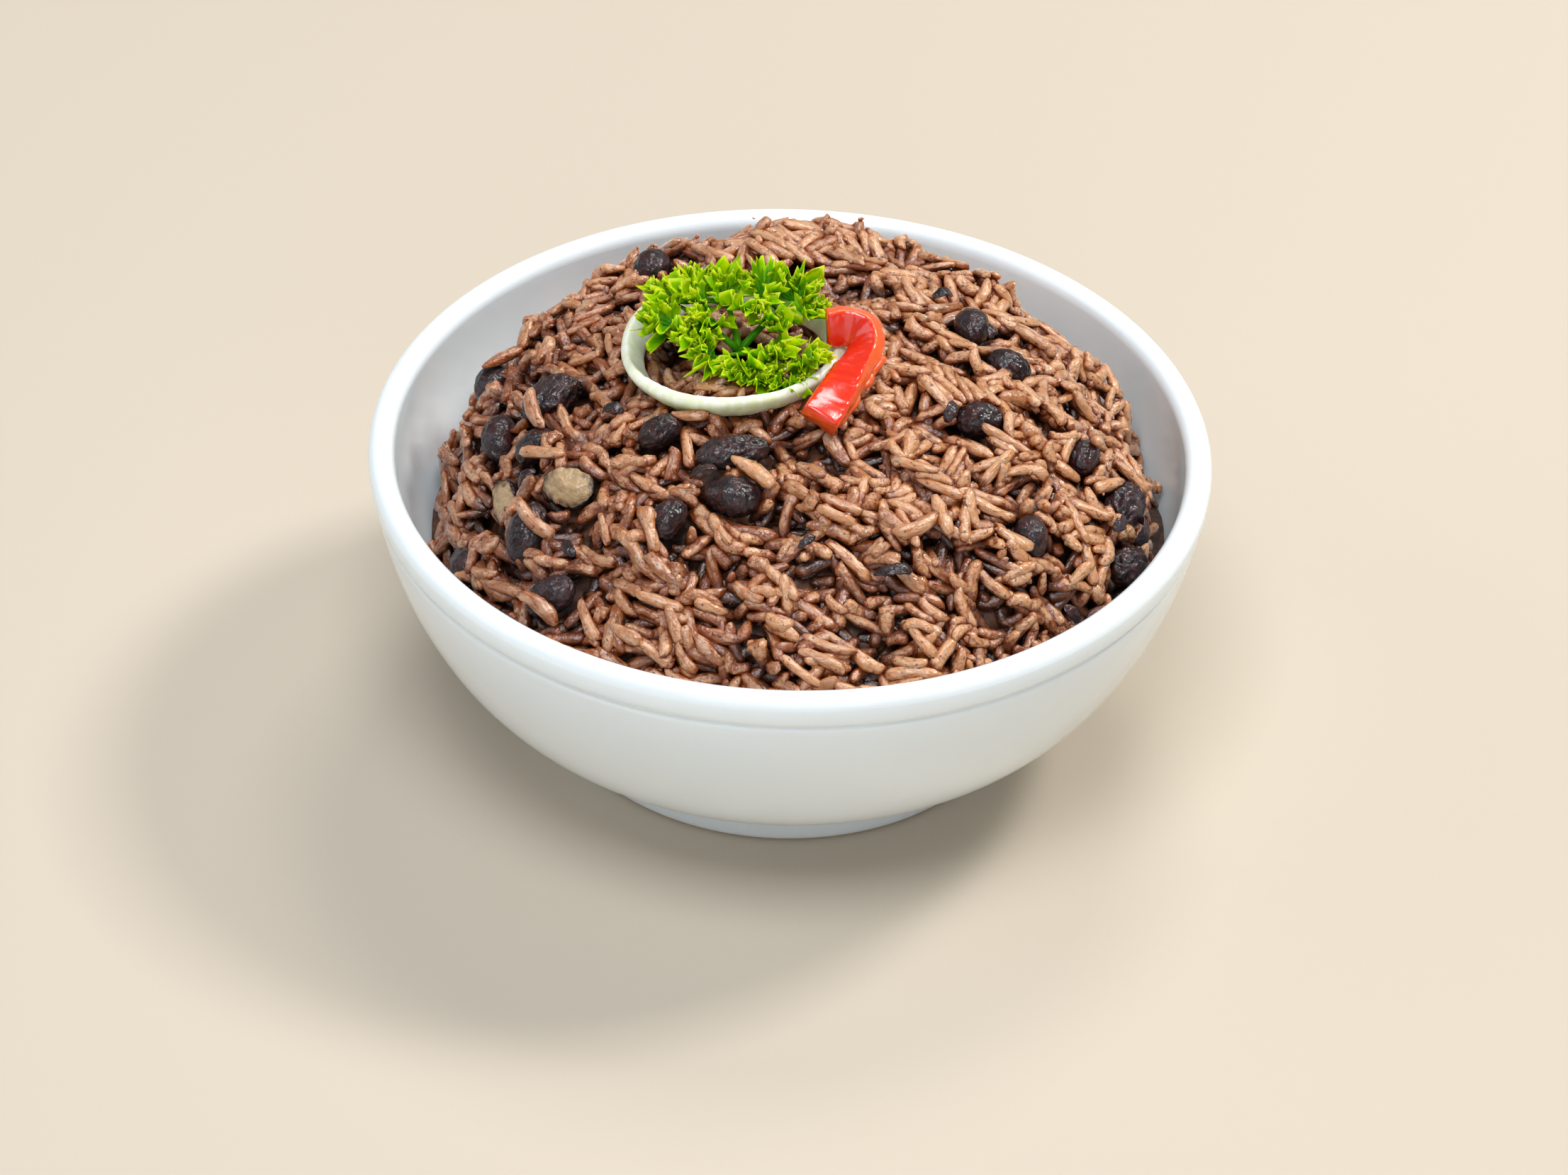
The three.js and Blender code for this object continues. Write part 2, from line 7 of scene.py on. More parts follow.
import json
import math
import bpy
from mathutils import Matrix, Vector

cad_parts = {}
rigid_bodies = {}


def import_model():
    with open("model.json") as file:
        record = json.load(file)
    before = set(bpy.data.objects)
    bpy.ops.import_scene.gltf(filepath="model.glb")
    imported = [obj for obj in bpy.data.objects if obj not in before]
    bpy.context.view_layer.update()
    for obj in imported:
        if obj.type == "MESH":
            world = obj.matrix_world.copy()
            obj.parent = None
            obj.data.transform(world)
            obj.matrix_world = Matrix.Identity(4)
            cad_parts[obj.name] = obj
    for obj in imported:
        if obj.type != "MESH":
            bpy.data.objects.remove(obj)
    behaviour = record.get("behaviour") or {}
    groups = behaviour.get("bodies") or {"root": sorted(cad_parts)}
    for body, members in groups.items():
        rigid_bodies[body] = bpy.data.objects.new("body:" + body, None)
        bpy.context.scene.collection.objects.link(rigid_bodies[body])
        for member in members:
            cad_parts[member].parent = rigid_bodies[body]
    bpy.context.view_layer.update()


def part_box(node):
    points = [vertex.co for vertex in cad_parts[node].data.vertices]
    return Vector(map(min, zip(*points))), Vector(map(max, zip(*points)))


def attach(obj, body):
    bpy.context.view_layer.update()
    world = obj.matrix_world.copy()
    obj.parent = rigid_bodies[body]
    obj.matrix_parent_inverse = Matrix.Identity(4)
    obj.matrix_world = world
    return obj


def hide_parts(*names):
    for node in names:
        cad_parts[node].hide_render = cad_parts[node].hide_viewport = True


bl_info = {
    "name": "Bowl of Rice and Beans",
    "version": (1, 0, 0),
    "blender": (4, 5, 0),
    "location": "3D View > Sidebar > Rice Bowl",
    "description": "Builds a glazed bowl of rice and black beans with its garnish and a pale stage",
    "category": "Add Mesh",
}

from collections import namedtuple

import bpy
import numpy as np
from bpy.props import FloatProperty, FloatVectorProperty, IntProperty, PointerProperty
from mathutils import Matrix, Vector

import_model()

MM = 0.001
BODY = "root"


# ------------------------------------------------------------------ bowl sizes, mm
RIM_RADIUS = round(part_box("bowl")[1].x / MM, 2)
BOWL_HEIGHT = round(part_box("bowl")[1].z / MM, 2)
LIP_RADIUS = 2.38       # half the thickness of the round lip
LIP_HEIGHT = BOWL_HEIGHT - LIP_RADIUS
INNER_RADIUS = RIM_RADIUS - 2 * LIP_RADIUS
BAND_BOTTOM = BOWL_HEIGHT - 6.2     # where the collar under the lip ends
BODY_RADIUS = RIM_RADIUS - 0.8
BODY_CURL_RADIUS = 38.0             # radius that the body curls in to, BODY_DEPTH under the collar
BODY_DEPTH = 41.8
FOOT_RADIUS = 42.4
FOOT_HEIGHT = 7.6
FOOT_WIDTH = 4.4
BASE_RECESS = 5.0
FLOOR_HEIGHT = 10.0
UNDERSIDE_HEIGHT = 12.6             # where the body's curve starts, over the foot

# ------------------------------------------------------------------ heap sizes, mm
HEAP_TOP = BOWL_HEIGHT + 20
# Where the rice meets the wall: degrees from +X, depth below the rim.
HEAP_EDGE = np.array([
    (0, 15), (15, 18), (30, 19), (60, 15), (90, 14), (120, 17), (140, 20), (155, 21), (170, 21),
    (185, 23), (200, 21), (215, 12), (235, 7), (270, 6), (305, 6.5), (335, 10), (360, 15),
], float)
WALL_GAP = 0.8

# A bean's heading is in degrees. Its size is its length, width and thickness, and
# wrinkled, from 0 to 1, says how loose its skin is.
Bean = namedtuple("Bean", "x y heading size wrinkled split")
BEANS = [Bean(*row) for row in (
    (-54.5, 16, 70, (8.4, 7.2, 6.6), 0.25, False),
    (-43, -5, 20, (11.4, 8.2, 7.2), 1.0, False),
    (-52, -5, 75, (9, 7, 6.4), 0.35, False),
    (-45, -15, 10, (8, 6.4, 5.6), 0.3, False),
    (-50.3, -21.5, 80, (8, 6.2, 5.6), 0.4, True),
    (-38.6, -29, 150, (9.4, 7.4, 6.4), 0.4, True),
    (-45.2, -35, 60, (10.8, 8.4, 7.2), 0.3, False),
    (-26, 31, 80, (8.2, 6.8, 6.2), 0.45, False),
    (-10, -28.6, 12, (12.6, 6.6, 4.4), 0.7, False),
    (-9.6, -37.7, 165, (10, 7.4, 6.6), 0.4, False),
    (-20.5, -41.5, 60, (8, 6.2, 5.8), 0.5, False),
    (32, 13, 95, (8.6, 6.6, 6), 0.3, False),
    (38.5, 2.8, 160, (8.4, 6.6, 6), 0.35, False),
    (33, -15, 20, (8.6, 6.8, 6.2), 0.6, False),
    (42.3, -36, 110, (8, 6.4, 6), 0.1, False),
    (59.5, -16.5, 75, (10.6, 8.2, 6.8), 1.0, False),
    (60, -28, 40, (8.4, 6.6, 6), 0.8, False),
    (-56.5, -28.5, 125, (8.4, 6.4, 5.8), 0.4, False),
    (-40.5, -48.5, 20, (9.4, 6.6, 6), 0.6, False),
    (52, -13, 65, (7.8, 5.8, 5.4), 0.5, False),
    (-22.5, -22.5, 30, (8.2, 6.2, 5.6), 0.5, False),
)]
BEAN_SINK = 0.13        # share of the thickness that a bean's middle lies under the heap's surface
BEAN_DENT = 0.16        # depth of the hollow on its inner side, as a share of its half width
SPLIT_SINK = 0.12       # share of the thickness that a split one lies deeper
SPLIT_LEAN = 0.5        # how much a split bean's face leans to the front
SPLIT_LEVEL = 0.02      # height of a split bean's face, as a share of its thickness

# Grains that lie over the beans: x, y, heading in degrees, length and width.
LOOSE_GRAINS = [
    (-43.4, -9.6, 99, 10.2, 2.6), (-42.3, -19.7, -27, 10.4, 2.6), (-42.2, -35.4, -60, 10.0, 2.7),
    (-40.8, -50.2, -57, 9.2, 2.6), (-5.9, -34.6, -44, 10.2, 3.1), (26.2, -39.2, -68, 8.6, 2.5),
    (21.7, -42.1, 36, 9.6, 2.6),
]

# Clumps of grains that stand out of the heap: x, y, radius and rise.
CLUMPS = [(-6.0, 33.0, 6.0, 3.0), (8.0, 33.0, 6.0, 2.4), (52.0, 22.0, 7.0, 3.4), (36.0, 30.0, 5.0, 2.2),
          (-30.0, 24.0, 5.0, 2.0), (-57.0, 4.0, 5.0, 2.0)]

# Torn bits of bean skin: x, y, heading, length, width, and how far they curl in degrees.
SKIN_FLAKES = [
    (26, 17.6, 30, 5.0, 2.2, 120), (27.4, -17.2, 70, 6.4, 2.6, 150), (17.8, -50.6, 12, 7.4, 3.0, 100),
    (48.2, -45.4, 150, 4.6, 2.0, 90), (-14.6, -34.4, 20, 6.0, 2.0, 130), (60.2, -22.4, 100, 7.0, 3.2, 140),
    (56.6, -24.5, 60, 5.2, 2.4, 120), (-30.5, -17.6, 160, 4.8, 2.2, 110), (-44.6, -25.8, 15, 4.6, 2.0, 110),
    (34.5, 9.0, 80, 4.2, 2.0, 120), (3.2, -47.5, 40, 3.8, 1.6, 90), (-36.5, -43.5, 110, 4.6, 2.0, 100),
]

RING_CENTRE = (-10.6, -2.6)
RING_RADIUS = 17.4
RING_FLARE = 34.0
RING_WIDTH = 5.2
RING_SINK = 0.9
RING_RAISE = 0.35       # how much higher the fine ring stands for the grains heaped against it

# Middle line of the pepper's curl: x, y, height over the heap's top, and the
# direction across the strip at the same points.
PEPPER_LINE = [
    (4.8, -24.2, 1.7), (7.4, -18.8, 2.7), (9.8, -13.9, 4.1), (12.3, -9.4, 5.7),
    (12.2, -5.9, 7.1), (9.4, -4.5, 7.7), (5.8, -5.1, 7.7),
]
PEPPER_ACROSS = [
    (0.76, -0.5, -0.4), (0.84, -0.4, -0.1), (0.86, -0.2, 0.25), (0.78, 0.05, 0.6),
    (0.45, 0.3, 0.85), (0.1, 0.3, 0.95), (-0.05, 0.2, 0.98),
]

SPRIG_ROOT = (-9.4, -4.2, 1.6)
# Branches of the sprig: the fork they spread from, and their leaf clusters:
# x, y, height over the heap's top, size, heading and upward tilt in degrees.
BRANCHES = [
    ((-17.2, -0.4, 5.0), [
        (-23.8, -3.0, 6.0, 5.4, 190, 6), (-22.6, 4.8, 6.4, 4.9, 150, 10), (-17.8, -6.4, 5.4, 4.6, 225, 4),
        (-15.5, -2.6, 6.2, 4.6, 235, 8)]),
    ((-11.6, 3.0, 5.8), [
        (-17.6, 8.4, 6.6, 5.0, 120, 14), (-12.2, 6.8, 7.4, 5.0, 100, 20), (-8.4, 0.2, 7.4, 5.0, 260, 4),
        (-17.6, 3.2, 7.0, 4.6, 200, 8)]),
    ((-2.6, 2.0, 6.0), [
        (-5.4, 7.6, 7.6, 5.2, 85, 18), (1.2, 6.8, 7.2, 5.0, 60, 14), (3.4, 1.4, 7.2, 4.0, 20, 10),
        (-3.4, -2.6, 6.6, 4.6, 300, 8)]),
    ((-6.4, -6.6, 2.6), [
        (-15.2, -9.4, 3.6, 5.0, 215, 0), (-8.8, -12.0, 3.0, 5.0, 260, 0), (-2.6, -8.6, 3.8, 5.0, 310, 4),
        (3.0, -11.6, 5.2, 4.2, 330, 8), (0.2, -15.2, 2.8, 4.4, 300, -4), (-5.6, -14.0, 2.6, 4.4, 270, -4)]),
]


# ------------------------------------------------------------------ small tools
def linear(code):
    """An sRGB colour such as "#C9A68A" as linear red, green, blue and alpha."""
    parts = [int(code[i:i + 2], 16) / 255 for i in (1, 3, 5)]
    return [c / 12.92 if c <= 0.04045 else ((c + 0.055) / 1.055) ** 2.4 for c in parts] + [1.0]


def unit(v):
    """Vectors along the last axis, brought to length 1."""
    return v / np.maximum(np.linalg.norm(v, axis=-1, keepdims=True), 1e-9)


def waves(points, size, seed, count=10):
    """A smooth random field of about -1 to 1 whose swells are size across."""
    draw = np.random.default_rng(seed)
    aims = unit(draw.normal(size=(count, 3))) * (2 * np.pi / size)
    aims *= draw.uniform(0.5, 1.5, (count, 1))
    phases = draw.uniform(0, 2 * np.pi, count)
    return np.sin(points @ aims.T + phases).sum(-1) / (2 * math.sqrt(count / 2))


def round_turns(count):
    """Even turns round a circle, in radians."""
    return 2 * np.pi * np.arange(count) / count


def smooth_line(points, steps):
    """A Catmull-Rom curve through the points, with steps between each two."""
    p = np.array(points, float)
    p = np.vstack([2 * p[0] - p[1], p, 2 * p[-1] - p[-2]])
    t = np.linspace(0, 1, steps, endpoint=False)[:, None]
    parts = []
    for a, b, c, d in zip(p, p[1:], p[2:], p[3:]):
        parts.append(0.5 * (2 * b + (c - a) * t + (2 * a - 5 * b + 4 * c - d) * t ** 2
                            + (3 * b - 3 * c + d - a) * t ** 3))
    return np.vstack([*parts, p[-2:-1]])


def new_mesh(name, points, faces, marks=None):
    """A smooth-shaded mesh from points in millimetres. marks are its attributes, by name."""
    mesh = bpy.data.meshes.new(name)
    mesh.from_pydata((np.asarray(points) * MM).tolist(), [], faces)
    for key, values in (marks or {}).items():
        values = np.asarray(values, np.float32)
        kind, field = ("FLOAT", "value") if values.ndim == 1 else ("FLOAT_VECTOR", "vector")
        layer = mesh.attributes.new(key, kind, "POINT")
        layer.data.foreach_set(field, values.ravel())
    mesh.shade_smooth()
    mesh.update()
    return mesh


def new_piece(name, mesh, material=None):
    """A mesh object at the origin, in the scene."""
    piece = bpy.data.objects.new(name, mesh)
    bpy.context.scene.collection.objects.link(piece)
    if material is not None:
        mesh.materials.append(material)
    return piece


def settle_in(piece, slot, *nodes):
    """Fixes a finished piece to the body and hides what it stands for. slot is not used."""
    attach(piece, BODY)
    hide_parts(*nodes)


def grid_faces(rows, columns, wrap):
    """Quads over a grid of points laid out row by row. wrap closes the columns."""
    faces = []
    for r in range(rows - 1):
        for c in range(columns if wrap else columns - 1):
            a, b = r * columns + c, r * columns + (c + 1) % columns
            faces.append((a, b, b + columns, a + columns))
    return faces


def tube(rings, start, end):
    """Points and faces of a closed body through rings of equal length, shut by two poles."""
    count = len(rings[0])
    points = np.vstack([*rings, start, end])
    faces = grid_faces(len(rings), count, True)
    first, last, base = len(points) - 2, len(points) - 1, (len(rings) - 1) * count
    for k in range(count):
        faces.append((first, (k + 1) % count, k))
        faces.append((last, base + k, base + (k + 1) % count))
    return points, faces


def joined(parts):
    """Points and faces of several bodies, as those of one mesh."""
    faces, total = [], 0
    for points, own in parts:
        faces += [tuple(i + total for i in face) for face in own]
        total += len(points)
    return np.vstack([points for points, _ in parts]), faces


# Sockets go by number where their names aren't unique. Mix: 0 is the share, 2 and 3 its plain
# values, 6 and 7 its colours. Map Range: 0 is the value, 1 and 2 the span that it reads, 3 and 4
# the span that it gives, 0 to 1 unless set.
def add(tree, kind, inputs=None, **settings):
    """Adds a node. settings are its properties. inputs are its sockets' values, or what they
    are linked to: a socket, or a node, which gives its first live output."""
    node = tree.nodes.new(kind)
    for key, value in settings.items():
        setattr(node, key, value)
    for key, value in (inputs or {}).items():
        if isinstance(value, bpy.types.Node):
            value = next(socket for socket in value.outputs if socket.enabled)
        if isinstance(value, bpy.types.NodeSocket):
            tree.links.new(value, node.inputs[key])
        else:
            node.inputs[key].default_value = value
    return node


def new_material(name):
    """An empty material and its node tree."""
    material = bpy.data.materials.new(name)
    material.use_nodes = True
    material.node_tree.nodes.clear()
    return material, material.node_tree


# ------------------------------------------------------------------ the heap's form
def inner_radius(z):
    """Radius of the bowl's hollow at height z."""
    down = np.clip((LIP_HEIGHT - z) / (LIP_HEIGHT - FLOOR_HEIGHT), 0, 1)
    return INNER_RADIUS * (1 - down * down) ** (1 / 3.3)


def body_radius(z):
    """Radius of the bowl's outside between the foot and the collar."""
    down = (BAND_BOTTOM - z) / BODY_DEPTH
    return BODY_CURL_RADIUS + (BODY_RADIUS - BODY_CURL_RADIUS) * (1 - down ** 1.36) ** (1 / 2.56)


def edge_height(angle):
    """Height at which the rice meets the wall, at an angle in radians."""
    turn = np.degrees(angle) % 360
    i = np.clip(np.searchsorted(HEAP_EDGE[:, 0], turn, "right") - 1, 0, len(HEAP_EDGE) - 2)
    t = (turn - HEAP_EDGE[i, 0]) / (HEAP_EDGE[i + 1, 0] - HEAP_EDGE[i, 0])
    low, high = HEAP_EDGE[i, 1], HEAP_EDGE[i + 1, 1]
    return BOWL_HEIGHT - (low + (high - low) * t * t * (3 - 2 * t))


def heap_radius(angle):
    """Radius at which the rice meets the wall."""
    return inner_radius(edge_height(angle)) - WALL_GAP


def heap_height(x, y):
    """Height of the heap's surface: a flat-topped dome, gentler towards the front."""
    angle = np.arctan2(y, x)
    low = edge_height(angle)
    out = np.minimum(1, np.hypot(x, y) / heap_radius(angle))
    front = 0.5 - 0.5 * np.sin(angle)
    return low + (HEAP_TOP - low) * (1 - out ** (4 - 1.2 * front)) ** (1 / (1.3 - 0.1 * front))


def heap_normal(x, y, step=1.5):
    """Unit normal of the heap's surface."""
    dx = (heap_height(x + step, y) - heap_height(x - step, y)) / (2 * step)
    dy = (heap_height(x, y + step) - heap_height(x, y - step)) / (2 * step)
    return unit(np.stack([-dx, -dy, np.ones_like(dx)], -1))


def lie_at(x, y, turn, lift):
    """Axes and centre of a thing lying on the heap: columns along, across, up, centre."""
    x, y = np.float64(x), np.float64(y)
    up = heap_normal(x, y)
    heading = np.array([math.cos(turn), math.sin(turn), 0])
    along = unit(heading - (heading @ up) * up)
    centre = np.array([x, y, heap_height(x, y)]) + lift * up
    return along, np.cross(up, along), up, centre


# ------------------------------------------------------------------ settings
COLOUR = {"subtype": "COLOR", "size": 4, "min": 0, "max": 1}
LENGTH = {"subtype": "DISTANCE", "unit": "LENGTH"}
POWER = {"subtype": "POWER", "unit": "POWER", "min": 0}


class BowlSettings(bpy.types.PropertyGroup):
    """Sizes and finish of the bowl."""

    sides: IntProperty(name="Sides", description="Facets round the bowl", default=192, min=48, max=512)
    glaze: FloatVectorProperty(
        name="Glaze", description="Colour of the fired glaze", default=linear("#E9F3F7"), **COLOUR)
    bisque: FloatVectorProperty(
        name="Bisque", description="Bare fired clay under the foot", default=linear("#E2DCCF"), **COLOUR)
    roughness: FloatProperty(
        name="Glaze Roughness", description="Roughness of the glaze", default=0.12, min=0, max=1)


class RiceSettings(bpy.types.PropertyGroup):
    """Sizes and colours of the cooked rice."""

    length: FloatProperty(
        name="Grain Length", description="Length of a middling cooked grain", default=8.9 * MM,
        min=0.003, max=0.02, **LENGTH)
    width: FloatProperty(
        name="Grain Width", description="Width of a middling cooked grain", default=2.5 * MM,
        min=0.001, max=0.006, **LENGTH)
    depth: FloatProperty(
        name="Loose Depth", description="How deep the loose grains lie over the core", default=7.6 * MM,
        min=0.002, max=0.02, **LENGTH)
    lump_height: FloatProperty(
        name="Lump Height", description="Height of the lumps on a grain", default=0.2 * MM,
        min=0, max=0.001, **LENGTH)
    lump_size: FloatProperty(
        name="Lump Size", description="Width of the lumps on a grain", default=1.6 * MM,
        min=0.0002, max=0.01, **LENGTH)
    crumbs: IntProperty(
        name="Crumbs", description="Crumbs of broken rice on the grains", default=1400, min=0)
    seed: IntProperty(name="Seed", description="Seed of every draw for the rice", default=7)
    pale: FloatVectorProperty(
        name="Pale Grain", description="Colour of a clean grain", default=linear("#C99161"), **COLOUR)
    # Laid by the stain, which holds painted shade on the heap's left as well.
    stained: FloatVectorProperty(
        name="Stained Grain", description="Colour of a grain stained by the beans' broth",
        default=linear("#8E4B1A"), **COLOUR)
    # Rust stains, and painted shade in the creases and on grains lying deep.
    rust_and_shade: FloatVectorProperty(
        name="Rust", description="Orange-brown where the broth dried along the grains",
        default=linear("#883F12"), **COLOUR)
    # Laid as painted shade in the gaps between grains and on grains lying deep; not on the tips.
    broth: FloatVectorProperty(
        name="Broth", description="Dark brown of dried broth in the gaps and on the tips",
        default=linear("#341405"), **COLOUR)


class BeanSettings(bpy.types.PropertyGroup):
    """Sizes and colours of the beans."""

    wrinkle: FloatProperty(
        name="Wrinkle Height", description="Height of the wrinkles in the loosest skin", default=0.42 * MM,
        min=0, max=0.002, **LENGTH)
    skin_thickness: FloatProperty(
        name="Skin Thickness", description="Thickness of the torn bits of skin", default=0.35 * MM,
        min=0.0001, max=0.002, **LENGTH)
    skin: FloatVectorProperty(
        name="Skin", description="Black skin", default=linear("#1E1213"), **COLOUR)
    bloom: FloatVectorProperty(
        name="Bloom", description="Grey haze on the skin", default=linear("#4D4045"), **COLOUR)
    flesh: FloatVectorProperty(
        name="Flesh", description="Cooked inside of a split bean", default=linear("#C9AC80"), **COLOUR)


class GarnishSettings(bpy.types.PropertyGroup):
    """Sizes and colours of the garnish."""

    ring_thickness: FloatProperty(
        name="Onion Thickness", description="Thickness of the onion ring's wall", default=2.4 * MM,
        min=0.0005, max=0.006, **LENGTH)
    pepper_width: FloatProperty(
        name="Pepper Width", description="Width of the pepper strip", default=6.8 * MM,
        min=0.002, max=0.02, **LENGTH)
    pepper_thickness: FloatProperty(
        name="Pepper Thickness", description="Thickness of the pepper's wall", default=2.9 * MM,
        min=0.001, max=0.01, **LENGTH)
    onion: FloatVectorProperty(
        name="Onion", description="Colour of the onion", default=linear("#DFE6C4"), **COLOUR)
    pepper_skin: FloatVectorProperty(
        name="Pepper Skin", description="Colour of the pepper's skin", default=linear("#E22A06"), **COLOUR)
    pepper_flesh: FloatVectorProperty(
        name="Pepper Flesh", description="Colour of the cut pepper", default=linear("#FA6A2C"), **COLOUR)
    leaf: FloatVectorProperty(
        name="Leaf", description="Colour of the parsley's blades", default=linear("#93C900"), **COLOUR)
    leaf_tip: FloatVectorProperty(
        name="Leaf Tip", description="Colour of the teeth's tips", default=linear("#E2E62A"), **COLOUR)


class StageSettings(bpy.types.PropertyGroup):
    """Floor, light and camera."""

    floor: FloatVectorProperty(
        name="Floor", description="Colour of the floor", default=linear("#C8BCAA"), **COLOUR)
    key: FloatProperty(
        name="Key Power", description="Power of the window-like light on the right", default=12.8, **POWER)
    fill: FloatProperty(
        name="Fill Power", description="Power of the soft light high in front", default=12.6, **POWER)
    front: FloatProperty(
        name="Front Power", description="Power of the soft light low in front", default=5.2, **POWER)
    side: FloatProperty(
        name="Side Power", description="Power of the soft light on the left", default=4.5, **POWER)
    glint: FloatProperty(
        name="Glint Power", description="Power of the small light behind that makes wet things glint",
        default=6.0, **POWER)
    sky: FloatProperty(
        name="Sky Strength", description="Strength of the even light all round", default=0.24, min=0)


# ------------------------------------------------------------------ bowl
def bowl_outline():
    """The bowl's section from the middle of its base, up the outside and over the lip to the floor."""
    foot_inner = FOOT_RADIUS - FOOT_WIDTH
    base = [(0, BASE_RECESS), (20, BASE_RECESS + 0.1), (foot_inner - 3, BASE_RECESS - 0.2),
            (foot_inner - 0.8, BASE_RECESS - 1.2), (foot_inner + 0.1, 2.2), (foot_inner + 0.5, 0.5),
            (foot_inner + 1.2, 0.02), (FOOT_RADIUS - 1.2, 0.02), (FOOT_RADIUS - 0.3, 0.45),
            (FOOT_RADIUS, 1.2), (FOOT_RADIUS + 0.15, 3.6), (FOOT_RADIUS + 0.35, 5.8),
            (FOOT_RADIUS + 0.9, 7.0), (FOOT_RADIUS + 2.2, FOOT_HEIGHT + 0.4)]
    rise = np.linspace(0, 1, 22) ** 1.15
    heights = UNDERSIDE_HEIGHT + (BAND_BOTTOM - 1.0 - UNDERSIDE_HEIGHT) * rise
    body = [(body_radius(z), z) for z in heights]
    groove = [(BODY_RADIUS - 0.35, BAND_BOTTOM - 0.35), (BODY_RADIUS - 0.3, BAND_BOTTOM + 0.1),
              (BODY_RADIUS + 0.35, BAND_BOTTOM + 0.6), (RIM_RADIUS - 0.12, BAND_BOTTOM + 1.8)]
    lip_turns = np.linspace(0, np.pi, 15)
    middle = RIM_RADIUS - LIP_RADIUS
    lip = [(middle + LIP_RADIUS * math.cos(a), LIP_HEIGHT + LIP_RADIUS * math.sin(a)) for a in lip_turns]
    sweep = np.linspace(0, np.pi / 2, 26)[1:]
    depth = LIP_HEIGHT - FLOOR_HEIGHT
    hollow = [(inner_radius(z), z) for z in FLOOR_HEIGHT + depth * np.cos(sweep[:-1])]
    points = base + body + groove + lip + hollow + [(0, FLOOR_HEIGHT)]
    line = smooth_line(points, 3)
    line[:, 0] = np.clip(line[:, 0], 0, RIM_RADIUS)
    line[:, 1] = np.clip(line[:, 1], 0, BOWL_HEIGHT)
    return line


def turned(outline, sides):
    """Points and faces of a body turned about Z from an outline that starts and ends on the axis."""
    turn = round_turns(sides)
    ring = np.stack([np.cos(turn), np.sin(turn)], -1)
    rings = [np.column_stack([r * ring, np.full(sides, z)]) for r, z in outline[1:-1]]
    start = np.array([[0, 0, outline[0][1]]])
    end = np.array([[0, 0, outline[-1][1]]])
    return tube(rings, start, end)


def glaze_material(settings):
    """Stoneware under a clear white glaze, dipped and fired: glossy and near white, a little
    uneven where the glaze ran, cooler where it lies thick, bare and matt under the foot."""
    material, tree = new_material("White dipped glaze on stoneware")
    place = add(tree, "ShaderNodeTexCoord").outputs["Object"]
    height = add(tree, "ShaderNodeSeparateXYZ", {0: place}).outputs["Z"]
    bare = add(tree, "ShaderNodeMapRange", {0: height, 1: 0.5 * MM, 2: 0.9 * MM, 3: 1.0, 4: 0.0})
    # The glaze runs in patches about 26 mm wide and ripples every 9 mm or so.
    run = add(tree, "ShaderNodeTexNoise", {"Vector": place, "Scale": 1 / (26 * MM), "Detail": 2.0})
    thick = add(tree, "ShaderNodeMapRange", {0: run, 1: 0.35, 2: 0.75, 4: 0.35})
    tone = settings.glaze
    for share, colour in ((thick, linear("#E9EEF0")), (bare, settings.bisque)):
        tone = add(tree, "ShaderNodeMix", {0: share, 6: tone, 7: colour}, data_type="RGBA")
    smooth, dull = settings.roughness * 0.8, settings.roughness * 1.3
    rough = add(tree, "ShaderNodeMapRange", {0: run, 3: smooth, 4: dull})
    rough = add(tree, "ShaderNodeMix", {0: bare, 2: rough, 3: 0.75})
    ripple = add(tree, "ShaderNodeTexNoise", {"Vector": place, "Scale": 1 / (9 * MM), "Detail": 1.0})
    bump = add(tree, "ShaderNodeBump", {"Strength": 0.06, "Distance": 0.4 * MM, "Height": ripple})
    shader = add(tree, "ShaderNodeBsdfPrincipled", {
        "Base Color": tone, "Roughness": rough, "IOR": 1.52, "Subsurface Weight": 0.5,
        "Subsurface Radius": (1.0, 1.0, 1.0), "Subsurface Scale": 5 * MM, "Normal": bump})
    add(tree, "ShaderNodeOutputMaterial", {"Surface": shader})
    return material


class RICEBOWL_OT_bowl(bpy.types.Operator):
    """Turns the glazed bowl with its foot ring, collar and round lip"""

    bl_idname = "ricebowl.bowl"
    bl_label = "Turn Bowl"

    def execute(self, context):
        settings = context.scene.ricebowl_bowl
        points, faces = turned(bowl_outline(), settings.sides)
        piece = new_piece("glazed_bowl", new_mesh("glazed_bowl", points, faces), glaze_material(settings))
        settle_in(piece, "glaze", "bowl")
        return {"FINISHED"}


